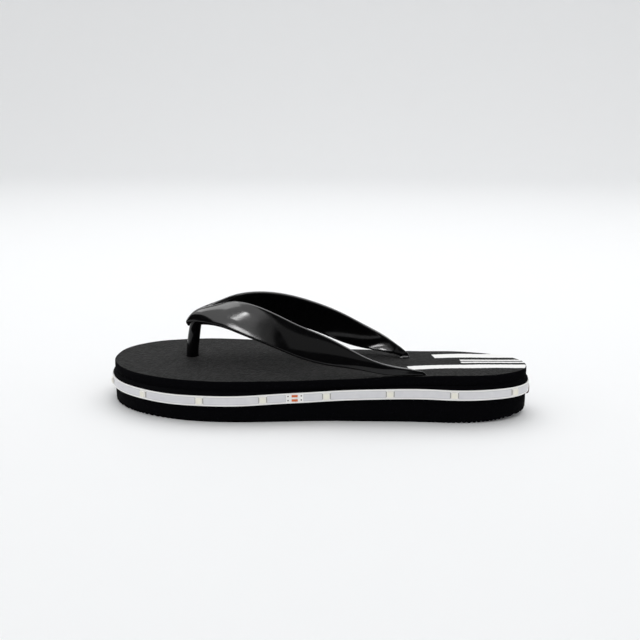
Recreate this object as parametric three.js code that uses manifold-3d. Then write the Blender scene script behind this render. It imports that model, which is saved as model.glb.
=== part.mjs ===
// A left flip flop with a light strip round its sole.
// Millimetres. +Z is up, the toe points to -X and the outer side of the foot is -Y.
// The origin is on the ground, in the middle of the sole's length and width.
import * as THREE from 'three';
import { mergeVertices } from 'three/addons/utils/BufferGeometryUtils.js';
import Module from 'manifold-3d';

const wasm = await Module();
wasm.setup();

// ---- sole ----
const SOLE_LENGTH = 265;
const BALL_WIDTH = 102.6;
const OUTER_WAIST = 40.4; // half widths, from the long axis
const INNER_WAIST = 30.2;
const OUTER_HEEL = 36.0;
const INNER_HEEL = 21.3;
const TOE_SHIFT = 5.0; // the toe tip lies to the inner side, the heel tip to the outer side
const HEEL_SHIFT = -6.5;
const FOREFOOT_HEIGHT = 25.7;
const HEEL_LIFT = 4.1;
const OUTSOLE_TOE = 10.4;
const OUTSOLE_HEEL = 14.8;
const FOOTBED_THICKNESS = 5.9;
const FOOTBED_ROUND = 0.8;
const BOTTOM_ROUND = 0.6;
const HEEL_BEVEL = 3.4;
const BEVEL_LENGTH = 42;
const LAYER_GAP = 0.1; // glue line between two soft sheets
const FIT_GAP = 0.3; // clearance round a piece that is pushed in
const FLAT_GAP = 0.05; // between flat hard faces that touch
const SOLE_STATIONS = 72;

// ---- light strip ----
const CORE_BULGE = 0.9; // how far the foam core stands proud behind the strip
const STRIP_WIDTH = 6.3;
const STRIP_SEAT = 0.2; // strip's lower edge above the outsole
const STRIP_THICKNESS = 0.35;
const TAPE_THICKNESS = 0.4;
const TAPE_INSET = 0.3;
const TAPE_GAP = 0.2; // the tape lies this far off the faceted side of the core
const LEDS_PER_CUT = 4;
const LED_PITCH = 38.4;
const LED_SIZE = 4.1;
const LED_HEIGHT = 0.9;
const STRIP_END_FROM_HEEL = 1.7; // the strip ends this far before the heel tip, on the outer side
const STRIP_LEAST_GAP = 7; // between the strip's two ends
const PAD_LENGTH = 3.6;
const PAD_WIDTH = 1.4;
const PAD_THICKNESS = 0.15;
const PAD_SPACING = 2.7;

// ---- strap ----
const POST_FROM_TOE = 49.2;
const POST_Y = 8.4;
const POST_RADIUS = 4.0;
const POST_LEAN = 3.5; // the top of the post lies this much nearer the heel
const NOSE_REACH = 3.1;
const NOSE_RISE = 20.0;
const CROTCH_REACH = 15.3;
const CROTCH_RISE = 31.2;
const OUTER_HOLE_FROM_HEEL = 65.5;
const OUTER_HOLE_EDGE = 4.6; // hole centre from the sole's edge
const OUTER_HOLE_LEAN = 4.7; // the hole leans inward on its way down
const INNER_HOLE_FROM_HEEL = 76.0;
const INNER_HOLE_EDGE = 15.2;
const STEM_RADIUS = 2.5;
const PLUG_RADIUS = 7.0;
const TOE_PLUG_RADIUS = 9.5;
const PLUG_THICKNESS = 2.2;
const PLUG_RECESS = 0.9; // plug's face above the ground
const BAND_THICKNESS = 2.6;
const TAIL_THICKNESS = 3.4;
const BAND_CAMBER = 1.2;
const TAIL_END_THICKNESS = 1.4;

// Cross-sections of each arm, from the toe post to its hole. Each edge point is
// [share of the way from post to hole, sideways bow, height above the footbed].
const OUTER_ARM = [
  { outer: [0.05, -4.2, 22.5], inner: [0.15, 2.4, 35.3] },
  { outer: [0.14, -8.2, 23.2], inner: [0.20, 1.0, 38.1] },
  { outer: [0.22, -11.3, 20.9], inner: [0.27, -0.8, 38.0] },
  { outer: [0.30, -13.9, 18.1], inner: [0.34, -2.4, 35.9] },
  { outer: [0.39, -16.5, 15.5], inner: [0.42, -4.0, 32.0] },
  { outer: [0.47, -18.0, 11.9], inner: [0.50, -4.8, 26.9] },
  { outer: [0.55, -17.5, 8.8], inner: [0.59, -4.9, 22.1] },
  { outer: [0.63, -16.1, 6.4], inner: [0.66, -4.9, 17.6] },
  { outer: [0.71, -13.8, 5.3], inner: [0.74, -4.7, 13.4] },
  { outer: [0.79, -11.1, 4.4], inner: [0.81, -4.3, 10.2] },
  { outer: [0.86, -8.4, 3.2], inner: [0.88, -2.8, 7.5] },
  { outer: [0.92, -5.8, 2.4], inner: [0.93, -1.2, 5.0] },
  { outer: [0.98, -3.3, 1.6], inner: [0.99, 0.6, 3.0] },
  { outer: [1.03, -0.8, 1.2], inner: [1.04, 1.0, 1.4] },
];
const INNER_ARM = [
  { outer: [0.05, 6.4, 22.5], inner: [0.16, 3.9, 36.3] },
  { outer: [0.13, 13.5, 23.9], inner: [0.22, 8.0, 39.7] },
  { outer: [0.22, 18.9, 23.3], inner: [0.31, 10.9, 40.8] },
  { outer: [0.32, 21.8, 21.5], inner: [0.40, 12.2, 40.0] },
  { outer: [0.41, 22.2, 19.0], inner: [0.49, 13.0, 37.5] },
  { outer: [0.50, 21.3, 15.9], inner: [0.58, 12.7, 34.0] },
  { outer: [0.60, 19.4, 11.8], inner: [0.68, 11.4, 28.9] },
  { outer: [0.68, 16.5, 7.4], inner: [0.76, 9.5, 23.3] },
  { outer: [0.77, 13.2, 4.1], inner: [0.83, 7.0, 18.4] },
  { outer: [0.85, 8.8, 2.8], inner: [0.90, 4.4, 13.7] },
  { outer: [0.91, 4.4, 2.2], inner: [0.96, 1.9, 8.6] },
  { outer: [0.97, 1.3, 1.7], inner: [1.00, 0.3, 4.2] },
  { outer: [1.01, 0.1, 1.2], inner: [1.03, -0.3, 1.8] },
];
const RINGS_PER_ARM = 27;
const RING_SIDES = 16;

// ---- power module, in a pocket of the outsole's heel ----
const MODULE_FROM_HEEL = 40.5; // centre of the case
const MODULE_Y = -3;
const MODULE_LENGTH = 36;
const MODULE_WIDTH = 31;
const MODULE_HEIGHT = 10;
const MODULE_WALL = 1.2;
const MODULE_FLOOR = 4.6;
const POCKET_GAP = 0.4;
const CELL_RADIUS = 10;
const CELL_THICKNESS = 3.2;
const CONTACT_THICKNESS = 0.3;
const BOARD_LENGTH = 11;
const BOARD_THICKNESS = 1.0;
const BOARD_LIFT = 0.3;
const SWITCH_LENGTH = 6;
const SWITCH_DEPTH = 5;
const SWITCH_HEIGHT = 5;
const SWITCH_BORE_DEPTH = 2.5;
const BUTTON_TRAVEL = 0.8;
const BUTTON_RADIUS = 3.5;
const BUTTON_PROUD = 1.0;
const BUTTON_CAP = 4.0;
const BUTTON_STEM = 1.8;
const BUTTON_FLANGE_RADIUS = 2.7;
const BUTTON_FLANGE = 0.8;
const BUTTON_TIP = 1.4;
const LEAD_RADIUS = 0.5;
const LEAD_SPACING = 2.6;
const LEADS_PAST_STRIP = 3.7; // where the leads leave the sole, past the strip's outer-side end
const LEAD_FALL = 1.3; // lead's centre below the rim of the case

// ---- heights along the sole ----
const halfLength = SOLE_LENGTH / 2;

function smoothstep(from, to, value) {
  const t = Math.min(1, Math.max(0, (value - from) / (to - from)));
  return t * t * (3 - 2 * t);
}

function topHeight(x) {
  return FOREFOOT_HEIGHT + HEEL_LIFT * smoothstep(-0.075, 0.72, x / halfLength);
}

function outsoleHeight(x) {
  const ramp = smoothstep(-0.45, 0.45, x / halfLength);
  return OUTSOLE_TOE + (OUTSOLE_HEEL - OUTSOLE_TOE) * ramp;
}

function bottomHeight(x) {
  return HEEL_BEVEL * Math.max(0, (x - halfLength + BEVEL_LENGTH) / BEVEL_LENGTH) ** 2;
}

// ---- outline of the sole ----
const ballX = -0.438 * halfLength;
const waistX = 0.151 * halfLength;
const heelX = 0.604 * halfLength;

// Half of a superellipse: how much of the full width is left at a share u of the way to the tip.
function roundedEnd(u, power) {
  return Math.max(0, 1 - Math.min(1, u) ** power) ** (1 / power);
}

function hermite(x, x1, x2, y1, y2, slope1, slope2) {
  const span = x2 - x1;
  const t = (x - x1) / span;
  const h1 = 2 * t ** 3 - 3 * t ** 2 + 1;
  const h2 = t ** 3 - 2 * t ** 2 + t;
  return h1 * y1 + h2 * span * slope1 + (1 - h1) * y2 + (t ** 3 - t ** 2) * span * slope2;
}

// Edge of the sole at x, grown outward by offset; side is -1 for the outer side, 1 for the inner.
function soleEdge(x, side, offset) {
  const outer = side < 0;
  const ball = BALL_WIDTH / 2 + offset;
  const waist = (outer ? OUTER_WAIST : INNER_WAIST) + offset;
  const heel = (outer ? OUTER_HEEL : INNER_HEEL) + offset;
  const reach = halfLength + offset;
  if (x <= ballX) {
    const left = roundedEnd((ballX - x) / (ballX + reach), outer ? 2.1 : 2.3);
    return side * (ball - side * TOE_SHIFT) * left + TOE_SHIFT;
  }
  if (x >= heelX) {
    const left = roundedEnd((x - heelX) / (reach - heelX), outer ? 2.1 : 2.4);
    return side * (heel - side * HEEL_SHIFT) * left + HEEL_SHIFT;
  }
  const slope = 0.75 * (heel - ball) / (heelX - ballX);
  if (x <= waistX) {
    return side * hermite(x, ballX, waistX, ball, waist, 0, slope);
  }
  return side * hermite(x, waistX, heelX, waist, heel, slope, 0);
}

// Closed outline: from the toe tip along the outer side to the heel tip, and back along the inner.
function soleOutline(offset, stations) {
  const reach = halfLength + offset;
  const points = [];
  for (let i = 0; i <= stations; i += 1) {
    const x = -reach * Math.cos(Math.PI * i / stations);
    points.push(new THREE.Vector2(x, soleEdge(x, -1, offset)));
  }
  for (let i = stations - 1; i > 0; i -= 1) {
    const x = -reach * Math.cos(Math.PI * i / stations);
    points.push(new THREE.Vector2(x, soleEdge(x, 1, offset)));
  }
  return points;
}

// ---- solids ----
function signedVolume(positions, indices) {
  const a = new THREE.Vector3();
  const b = new THREE.Vector3();
  const c = new THREE.Vector3();
  let total = 0;
  for (let i = 0; i < indices.length; i += 3) {
    a.fromArray(positions, 3 * indices[i]);
    b.fromArray(positions, 3 * indices[i + 1]);
    c.fromArray(positions, 3 * indices[i + 2]);
    total += a.dot(b.cross(c));
  }
  return total;
}

// A closed geometry from points and triangles, turned so that its faces point out.
function closedGeometry(positions, indices) {
  const faces = [...indices];
  if (signedVolume(positions, faces) < 0) {
    faces.reverse();
  }
  const geometry = new THREE.BufferGeometry();
  geometry.setAttribute('position', new THREE.Float32BufferAttribute(positions, 3));
  geometry.setIndex(faces);
  geometry.computeVertexNormals();
  return geometry;
}

// Side walls between equal rings of points, with the two end caps' triangles from capFaces.
function loft(rings, capFaces = fanCap) {
  const count = rings[0].length;
  const positions = rings.flat().flatMap((point) => point.toArray());
  const faces = [];
  for (let ring = 0; ring + 1 < rings.length; ring += 1) {
    for (let i = 0; i < count; i += 1) {
      const a = ring * count + i;
      const b = ring * count + (i + 1) % count;
      faces.push(a, b, b + count, a, b + count, a + count);
    }
  }
  const last = (rings.length - 1) * count;
  for (const [a, b, c] of capFaces(count)) {
    faces.push(a, c, b, last + a, last + b, last + c);
  }
  return closedGeometry(positions, faces);
}

function fanCap(count) {
  const faces = [];
  for (let i = 1; i + 1 < count; i += 1) {
    faces.push([0, i, i + 1]);
  }
  return faces;
}

// Cap of a sole outline: strips between the outer and the inner edge at equal x.
function soleCap(count) {
  const half = count / 2;
  const faces = [[0, 1, count - 1], [half - 1, half, half + 1]];
  for (let i = 1; i < half - 1; i += 1) {
    faces.push([i, i + 1, count - i], [i + 1, count - i - 1, count - i]);
  }
  return faces;
}

// A sheet of the sole: one outline per level, each with its offset and its height along x.
function soleSlab(levels) {
  const rings = levels.map(({ offset, height }) => soleOutline(offset, SOLE_STATIONS)
    .map((point) => new THREE.Vector3(point.x, point.y, height(point.x))));
  return loft(rings, soleCap);
}

function toManifold(geometry) {
  const bare = geometry.clone();
  bare.deleteAttribute('normal');
  bare.deleteAttribute('uv');
  const merged = mergeVertices(bare, 1e-5);
  return new wasm.Manifold(new wasm.Mesh({
    numProp: 3,
    vertProperties: new Float32Array(merged.attributes.position.array),
    triVerts: new Uint32Array(merged.index.array),
  }));
}

function fromManifold(manifold) {
  const mesh = manifold.getMesh();
  return closedGeometry(Array.from(mesh.vertProperties), Array.from(mesh.triVerts));
}

function cut(geometry, tools) {
  const body = tools.reduce((left, tool) => left.subtract(toManifold(tool)), toManifold(geometry));
  return fromManifold(body);
}

function join(geometries) {
  const [first, ...others] = geometries.map(toManifold);
  return fromManifold(others.reduce((whole, other) => whole.add(other), first));
}

function box(x1, x2, y1, y2, z1, z2) {
  const geometry = new THREE.BoxGeometry(x2 - x1, y2 - y1, z2 - z1);
  geometry.translate((x1 + x2) / 2, (y1 + y2) / 2, (z1 + z2) / 2);
  return geometry;
}

// A round bar through ring centres, each with its radius and its tilt towards the heel.
function roundBar(stations, sides = 24) {
  const rings = stations.map(({ centre, radius, tilt = 0 }) => {
    const ring = [];
    for (let i = 0; i < sides; i += 1) {
      const angle = 2 * Math.PI * i / sides;
      const along = radius * Math.cos(angle);
      ring.push(new THREE.Vector3(
        centre.x + along * Math.cos(tilt),
        centre.y + radius * Math.sin(angle),
        centre.z + along * Math.sin(tilt),
      ));
    }
    return ring;
  });
  return loft(rings);
}

// ---- where the strap goes through the sole ----
const postX = -halfLength + POST_FROM_TOE;
const outerHoleX = halfLength - OUTER_HOLE_FROM_HEEL;
const innerHoleX = halfLength - INNER_HOLE_FROM_HEEL;
const post = { x: postX, y: POST_Y, lean: 0, radius: POST_RADIUS, plug: TOE_PLUG_RADIUS };
const outerHole = {
  x: outerHoleX,
  y: soleEdge(outerHoleX, -1, 0) + OUTER_HOLE_EDGE,
  lean: OUTER_HOLE_LEAN,
  radius: STEM_RADIUS,
  plug: PLUG_RADIUS,
};
const innerHole = {
  x: innerHoleX,
  y: soleEdge(innerHoleX, 1, 0) - INNER_HOLE_EDGE,
  lean: 0,
  radius: STEM_RADIUS,
  plug: PLUG_RADIUS,
};
const plugTop = PLUG_RECESS + PLUG_THICKNESS;

// Centre of a hole at height z: it leans from the footbed down to the plug.
function holeCentre(hole, z) {
  const top = topHeight(hole.x);
  const share = (top - z) / (top - plugTop);
  return new THREE.Vector3(hole.x, hole.y + hole.lean * Math.max(0, share), z);
}

function holeCutters(hole) {
  const seat = plugTop + FIT_GAP;
  const above = topHeight(hole.x) + 10;
  const shaft = roundBar([
    { centre: holeCentre(hole, 0).setZ(-5), radius: hole.radius + FIT_GAP },
    { centre: holeCentre(hole, plugTop), radius: hole.radius + FIT_GAP },
    { centre: holeCentre(hole, topHeight(hole.x)), radius: hole.radius + FIT_GAP },
    { centre: holeCentre(hole, above), radius: hole.radius + FIT_GAP },
  ]);
  const counterbore = roundBar([
    { centre: holeCentre(hole, plugTop).setZ(-5), radius: hole.plug + FIT_GAP },
    { centre: holeCentre(hole, plugTop).setZ(seat), radius: hole.plug + FIT_GAP },
  ], 32);
  return { shaft, counterbore };
}

const holes = [post, outerHole, innerHole];
const holeTools = holes.map(holeCutters);
const shafts = holeTools.map((tool) => tool.shaft);
const counterbores = holeTools.map((tool) => tool.counterbore);

// ---- the side of the core, where the strip runs ----
const RAIL_STATIONS = 360;
const railPoints = soleOutline(CORE_BULGE, RAIL_STATIONS);
const railLengths = [0];
railPoints.forEach((point, i) => {
  const next = railPoints[(i + 1) % railPoints.length];
  railLengths.push(railLengths[i] + point.distanceTo(next));
});
const railLength = railLengths[railPoints.length];
const heelTipAt = railLengths[RAIL_STATIONS];

// Point at distance s from the toe tip, on the core's side, moved outward by offset.
function railPoint(s, offset, z) {
  const wrapped = ((s % railLength) + railLength) % railLength;
  const count = railPoints.length;
  let i = railLengths.findIndex((length) => length > wrapped) - 1;
  i = Math.max(0, i);
  const share = (wrapped - railLengths[i]) / (railLengths[i + 1] - railLengths[i]);
  const before = railPoints[(i + count - 1) % count];
  const start = railPoints[i % count];
  const end = railPoints[(i + 1) % count];
  const after = railPoints[(i + 2) % count];
  const centre = start.clone().lerp(end, share);
  const tangent = end.clone().sub(before).lerp(after.clone().sub(start), share).normalize();
  const normal = new THREE.Vector2(tangent.y, -tangent.x);
  const angle = Math.atan2(tangent.y, tangent.x);
  const x = centre.x + normal.x * offset;
  const y = centre.y + normal.y * offset;
  const height = z === undefined ? stripMiddle(centre.x) : z;
  return { x, y, z: height, angle, position: new THREE.Vector3(x, y, height) };
}

function stripMiddle(x) {
  return outsoleHeight(x) + STRIP_SEAT + STRIP_WIDTH / 2;
}

const tapeInner = TAPE_GAP;
const tapeOuter = tapeInner + TAPE_THICKNESS;
const stripInner = tapeOuter + LAYER_GAP;
const stripOuter = stripInner + STRIP_THICKNESS;
const ledInner = stripOuter + LAYER_GAP;
const ledCount = Math.floor((railLength - STRIP_LEAST_GAP) / LED_PITCH);
const stripEnd = heelTipAt - STRIP_END_FROM_HEEL;
const stripStart = stripEnd - ledCount * LED_PITCH;

// A flat band that follows the side of the core between two distances.
function sideBand(from, to, inner, outer, width) {
  const steps = 132;
  const rings = [];
  for (let i = 0; i <= steps; i += 1) {
    const s = from + (to - from) * i / steps;
    const near = railPoint(s, inner).position;
    const far = railPoint(s, outer).position;
    const lift = new THREE.Vector3(0, 0, width / 2);
    rings.push([
      near.clone().sub(lift), far.clone().sub(lift), far.clone().add(lift), near.clone().add(lift),
    ]);
  }
  return loft(rings);
}

// ---- materials ----
function material(color, roughness, metalness = 0) {
  return new THREE.MeshStandardMaterial({ color, roughness, metalness });
}

const group = new THREE.Group();

function addPart(name, geometry, look, parent = group) {
  const mesh = new THREE.Mesh(geometry, look);
  mesh.name = name;
  parent.add(mesh);
  return mesh;
}

// ---- footbed, core and outsole ----
function footbed() {
  const bottom = (x) => topHeight(x) - FOOTBED_THICKNESS;
  const shoulder = (drop) => (x) => topHeight(x) - drop * FOOTBED_ROUND;
  const slab = soleSlab([
    { offset: 0, height: bottom },
    { offset: 0, height: shoulder(1) },
    { offset: -0.3 * FOOTBED_ROUND, height: shoulder(0.3) },
    { offset: -FOOTBED_ROUND, height: topHeight },
  ]);
  return cut(slab, shafts);
}

function core(pocket) {
  const bottom = (x) => outsoleHeight(x) + LAYER_GAP;
  const top = (x) => topHeight(x) - FOOTBED_THICKNESS - LAYER_GAP;
  const bandTop = (x) => Math.min(outsoleHeight(x) + STRIP_SEAT + STRIP_WIDTH + 0.6, top(x) - 0.5);
  const slab = soleSlab([
    { offset: CORE_BULGE, height: bottom },
    { offset: CORE_BULGE, height: bandTop },
    { offset: 0, height: top },
  ]);
  return cut(slab, [...shafts, pocket]);
}

function outsole(pocket, channel, buttonHole) {
  const rounded = (rise) => (x) => bottomHeight(x) + rise * BOTTOM_ROUND;
  const slab = soleSlab([
    { offset: -BOTTOM_ROUND, height: bottomHeight },
    { offset: -0.3 * BOTTOM_ROUND, height: rounded(0.3) },
    { offset: 0, height: rounded(1) },
    { offset: 0, height: outsoleHeight },
  ]);
  return cut(slab, [...shafts, ...counterbores, pocket, channel, buttonHole]);
}

// ---- strap ----
function edgePoint(hole, [share, bow, rise]) {
  const x = post.x + (hole.x - post.x) * share;
  const y = post.y + (hole.y - post.y) * share + bow;
  return new THREE.Vector3(x, y, topHeight(x) + rise);
}

const nose = new THREE.Vector3(post.x - NOSE_REACH, post.y, topHeight(post.x) + NOSE_RISE);
const crotch = new THREE.Vector3(post.x + CROTCH_REACH, post.y, topHeight(post.x) + CROTCH_RISE);

// Matching edge points of one arm, from the toe post to its hole.
function armEdges(hole, rows) {
  const outer = [nose, ...rows.map((row) => edgePoint(hole, row.outer))];
  const inner = [crotch, ...rows.map((row) => edgePoint(hole, row.inner))];
  const outerCurve = new THREE.CatmullRomCurve3(outer, false, 'centripetal');
  const innerCurve = new THREE.CatmullRomCurve3(inner, false, 'centripetal');
  return {
    outer: outerCurve.getPoints(RINGS_PER_ARM),
    inner: innerCurve.getPoints(RINGS_PER_ARM),
  };
}

function signedPower(value, power) {
  return Math.sign(value) * Math.abs(value) ** power;
}

// The band that runs from one tail over the foot to the other, thick edges rounded.
function strapBand() {
  const outerArm = armEdges(outerHole, OUTER_ARM);
  const innerArm = armEdges(innerHole, INNER_ARM);
  const outer = [...outerArm.outer.reverse(), ...innerArm.outer.slice(1)];
  const inner = [...outerArm.inner.reverse(), ...innerArm.inner.slice(1)];
  const last = outer.length - 1;
  const rings = outer.map((edge, i) => {
    const halfWidth = inner[i].clone().sub(edge).multiplyScalar(0.5);
    const centre = edge.clone().add(inner[i]).multiplyScalar(0.5);
    const before = Math.max(0, i - 1);
    const after = Math.min(last, i + 1);
    const along = outer[after].clone().add(inner[after]).sub(outer[before]).sub(inner[before]);
    const normal = halfWidth.clone().cross(along).normalize();
    const fromPost = Math.abs(i - RINGS_PER_ARM) / RINGS_PER_ARM;
    const thickness = bandThickness(fromPost);
    const camber = BAND_CAMBER * (1 - smoothstep(0.6, 0.9, fromPost));
    const ring = [];
    for (let side = 0; side < RING_SIDES; side += 1) {
      const angle = 2 * Math.PI * side / RING_SIDES;
      const across = signedPower(Math.cos(angle), 0.7);
      const out = signedPower(Math.sin(angle), 0.7) * thickness / 2 + camber * (1 - across ** 2);
      ring.push(centre.clone().addScaledVector(halfWidth, across).addScaledVector(normal, out));
    }
    return ring;
  });
  return loft(rings);
}

function bandThickness(fromPost) {
  const towardsTail = smoothstep(0.55, 0.85, fromPost);
  const end = smoothstep(0.88, 1, fromPost);
  const thick = BAND_THICKNESS + (TAIL_THICKNESS - BAND_THICKNESS) * towardsTail;
  return thick + (TAIL_END_THICKNESS - thick) * end;
}

// The toe post, from its plug under the sole up into the nose of the band.
function toePost() {
  const slope = Math.atan2(crotch.z - nose.z, crotch.x - nose.x);
  const topX = post.x + POST_LEAN;
  const midBand = nose.clone().lerp(crotch, (topX + 1 - nose.x) / (crotch.x - nose.x));
  const at = (share) => new THREE.Vector3(
    post.x + POST_LEAN * share ** 1.4,
    post.y,
    topHeight(post.x) + (midBand.z - topHeight(post.x)) * share,
  );
  return roundBar([
    ...plugStations(post),
    { centre: at(0), radius: POST_RADIUS },
    { centre: at(0.3), radius: POST_RADIUS },
    { centre: at(0.6), radius: POST_RADIUS, tilt: 0.2 * slope },
    { centre: at(0.8), radius: POST_RADIUS * 1.06, tilt: 0.6 * slope },
    { centre: at(0.94), radius: POST_RADIUS * 1.2, tilt: slope },
    { centre: midBand, radius: POST_RADIUS * 1.2, tilt: slope },
  ]);
}

function plugStations(hole) {
  const low = holeCentre(hole, plugTop).setZ(PLUG_RECESS);
  const high = holeCentre(hole, plugTop);
  return [
    { centre: low, radius: hole.plug - 0.4 },
    { centre: low.clone().setZ(PLUG_RECESS + 0.4), radius: hole.plug },
    { centre: high, radius: hole.plug },
    { centre: high.clone().setZ(plugTop + 0.01), radius: hole.radius },
  ];
}

// The stem under an arm's tail, from its plug up into the band.
function tailStem(hole, rows) {
  const last = rows.length - 1;
  const mid = (row) => edgePoint(hole, row.outer).lerp(edgePoint(hole, row.inner), 0.5);
  const top = mid(rows[last - 1]).lerp(mid(rows[last]), 0.3);
  const entry = holeCentre(hole, topHeight(hole.x));
  return roundBar([
    ...plugStations(hole),
    { centre: entry, radius: STEM_RADIUS },
    { centre: entry.clone().setZ(entry.z + 0.5), radius: STEM_RADIUS },
    { centre: entry.clone().setZ(top.z), radius: STEM_RADIUS * 0.8 },
  ]);
}

function strap() {
  return join([
    strapBand(),
    toePost(),
    tailStem(outerHole, OUTER_ARM),
    tailStem(innerHole, INNER_ARM),
  ]);
}

// ---- power module ----
const moduleX = halfLength - MODULE_FROM_HEEL;
const moduleFront = moduleX - MODULE_LENGTH / 2;
const moduleRear = moduleX + MODULE_LENGTH / 2;
const moduleOuter = MODULE_Y - MODULE_WIDTH / 2;
const moduleInner = MODULE_Y + MODULE_WIDTH / 2;
const lidBottom = MODULE_FLOOR + MODULE_HEIGHT - MODULE_WALL;
const insideFloor = MODULE_FLOOR + MODULE_WALL;
const insideInner = moduleInner - MODULE_WALL;
const boardX = moduleFront + MODULE_WALL + FIT_GAP + BOARD_LENGTH / 2;
const boardTop = insideFloor + BOARD_LIFT + BOARD_THICKNESS;
const buttonX = boardX;
const buttonZ = boardTop + FIT_GAP + SWITCH_HEIGHT / 2;
const leadZ = lidBottom - LEAD_FALL;

const pocket = box(
  moduleFront - POCKET_GAP, moduleRear + POCKET_GAP,
  moduleOuter - POCKET_GAP, moduleInner + POCKET_GAP,
  MODULE_FLOOR - POCKET_GAP, MODULE_FLOOR + MODULE_HEIGHT + POCKET_GAP,
);
const leadFloor = leadZ - LEAD_RADIUS - FIT_GAP;
const leadsAt = stripEnd + LEADS_PAST_STRIP;
const channelY = railPoint(leadsAt, 0).y;
const channelHalf = LEAD_SPACING / 2 + LEAD_RADIUS + FIT_GAP;
const channel = box(
  moduleRear - 1, halfLength + 10,
  channelY - channelHalf, channelY + channelHalf,
  leadFloor, OUTSOLE_HEEL + 10,
);

function cylinderAlongY(radius, y1, y2, x, z, sides = 32) {
  const geometry = new THREE.CylinderGeometry(radius, radius, y2 - y1, sides);
  geometry.translate(x, (y1 + y2) / 2, z);
  return geometry;
}

const buttonFace = soleEdge(buttonX, 1, 0) + BUTTON_PROUD;
const flangeFace = insideInner - FIT_GAP;
const tipEnd = flangeFace - BUTTON_FLANGE - SWITCH_BORE_DEPTH;
const switchInner = flangeFace - BUTTON_FLANGE - BUTTON_TRAVEL - FIT_GAP;
const buttonHole = cylinderAlongY(
  BUTTON_RADIUS + FIT_GAP, moduleInner, buttonFace + 20, buttonX, buttonZ,
);

// The button: cap, stem through the case wall, flange behind it and tip in the switch.
function switchButton() {
  const capInner = buttonFace - BUTTON_CAP;
  const profile = [
    new THREE.Vector2(0, tipEnd),
    new THREE.Vector2(BUTTON_TIP, tipEnd),
    new THREE.Vector2(BUTTON_TIP, flangeFace - BUTTON_FLANGE),
    new THREE.Vector2(BUTTON_FLANGE_RADIUS, flangeFace - BUTTON_FLANGE),
    new THREE.Vector2(BUTTON_FLANGE_RADIUS, flangeFace),
    new THREE.Vector2(BUTTON_STEM, flangeFace),
    new THREE.Vector2(BUTTON_STEM, capInner),
    new THREE.Vector2(BUTTON_RADIUS, capInner),
    new THREE.Vector2(BUTTON_RADIUS, buttonFace - 0.6),
    new THREE.Vector2(BUTTON_RADIUS - 0.6, buttonFace),
    new THREE.Vector2(0, buttonFace),
  ];
  const geometry = new THREE.LatheGeometry(profile, 32);
  geometry.translate(buttonX, 0, buttonZ);
  return fromManifold(toManifold(geometry));
}

function pushSwitch() {
  const body = box(
    buttonX - SWITCH_LENGTH / 2, buttonX + SWITCH_LENGTH / 2,
    switchInner - SWITCH_DEPTH, switchInner,
    boardTop + FIT_GAP, boardTop + FIT_GAP + SWITCH_HEIGHT,
  );
  const boreEnd = tipEnd - BUTTON_TRAVEL - FIT_GAP;
  const bore = cylinderAlongY(
    BUTTON_TIP + FIT_GAP, boreEnd, switchInner + 1, buttonX, buttonZ, 24,
  );
  return cut(body, [bore]);
}

function leadY(side) {
  return channelY - side * LEAD_SPACING / 2;
}

function moduleCase() {
  const body = box(moduleFront, moduleRear, moduleOuter, moduleInner, MODULE_FLOOR, lidBottom);
  const inside = box(
    moduleFront + MODULE_WALL, moduleRear - MODULE_WALL,
    moduleOuter + MODULE_WALL, insideInner,
    insideFloor, lidBottom + 1,
  );
  const stemHole = cylinderAlongY(
    BUTTON_STEM + FIT_GAP, insideInner - 1, moduleInner + 1, buttonX, buttonZ, 24,
  );
  const leadHoles = [-1, 1].map((side) => {
    const hole = cylinderAlongY(LEAD_RADIUS + FIT_GAP, -2, 2, 0, 0, 16);
    hole.rotateZ(Math.PI / 2);
    hole.translate(moduleRear - MODULE_WALL / 2, leadY(side), leadZ);
    return hole;
  });
  return cut(body, [inside, stemHole, ...leadHoles]);
}

function moduleLid() {
  return box(
    moduleFront, moduleRear, moduleOuter, moduleInner,
    lidBottom + FLAT_GAP, MODULE_FLOOR + MODULE_HEIGHT,
  );
}

function circuitBoard() {
  return box(
    boardX - BOARD_LENGTH / 2, boardX + BOARD_LENGTH / 2,
    moduleOuter + MODULE_WALL + FIT_GAP, insideInner - FIT_GAP,
    boardTop - BOARD_THICKNESS, boardTop,
  );
}

const cellX = moduleRear - MODULE_WALL - FIT_GAP - CELL_RADIUS;

function disc(radius, z1, z2) {
  const geometry = new THREE.CylinderGeometry(radius, radius, z2 - z1, 40);
  geometry.rotateX(Math.PI / 2);
  geometry.translate(cellX, MODULE_Y, (z1 + z2) / 2);
  return geometry;
}

// A lead from inside the case, along the channel, up the heel and round to the strip's end.
// The upper lead lies farther from that end, so that it passes over the lower one.
function lead(side) {
  const y = leadY(side);
  const clearOfCore = FIT_GAP + LEAD_RADIUS;
  const target = stripMiddle(halfLength) + side * PAD_SPACING / 2;
  const exitAt = leadsAt - side * LEAD_SPACING / 2;
  const finishAt = stripStart + railLength - FIT_GAP;
  const exit = railPoint(exitAt, clearOfCore + 0.4, leadZ);
  const bend = railPoint(exitAt, clearOfCore + 0.6, target);
  const runs = [0.5, 1].map((share) => railPoint(
    exitAt + (finishAt - exitAt) * share, clearOfCore + 0.2, target,
  ).position);
  const path = new THREE.CatmullRomCurve3([
    new THREE.Vector3(moduleRear - MODULE_WALL - 0.2, y, leadZ),
    new THREE.Vector3(moduleRear + 4, y, leadZ),
    new THREE.Vector3(exit.x - 4, y, leadZ),
    exit.position,
    bend.position,
    ...runs,
  ], false, 'centripetal');
  const section = new THREE.Shape();
  section.absarc(0, 0, LEAD_RADIUS, 0, 2 * Math.PI);
  return new THREE.ExtrudeGeometry(section, {
    steps: 40, curveSegments: 4, bevelEnabled: false, extrudePath: path,
  });
}

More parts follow.
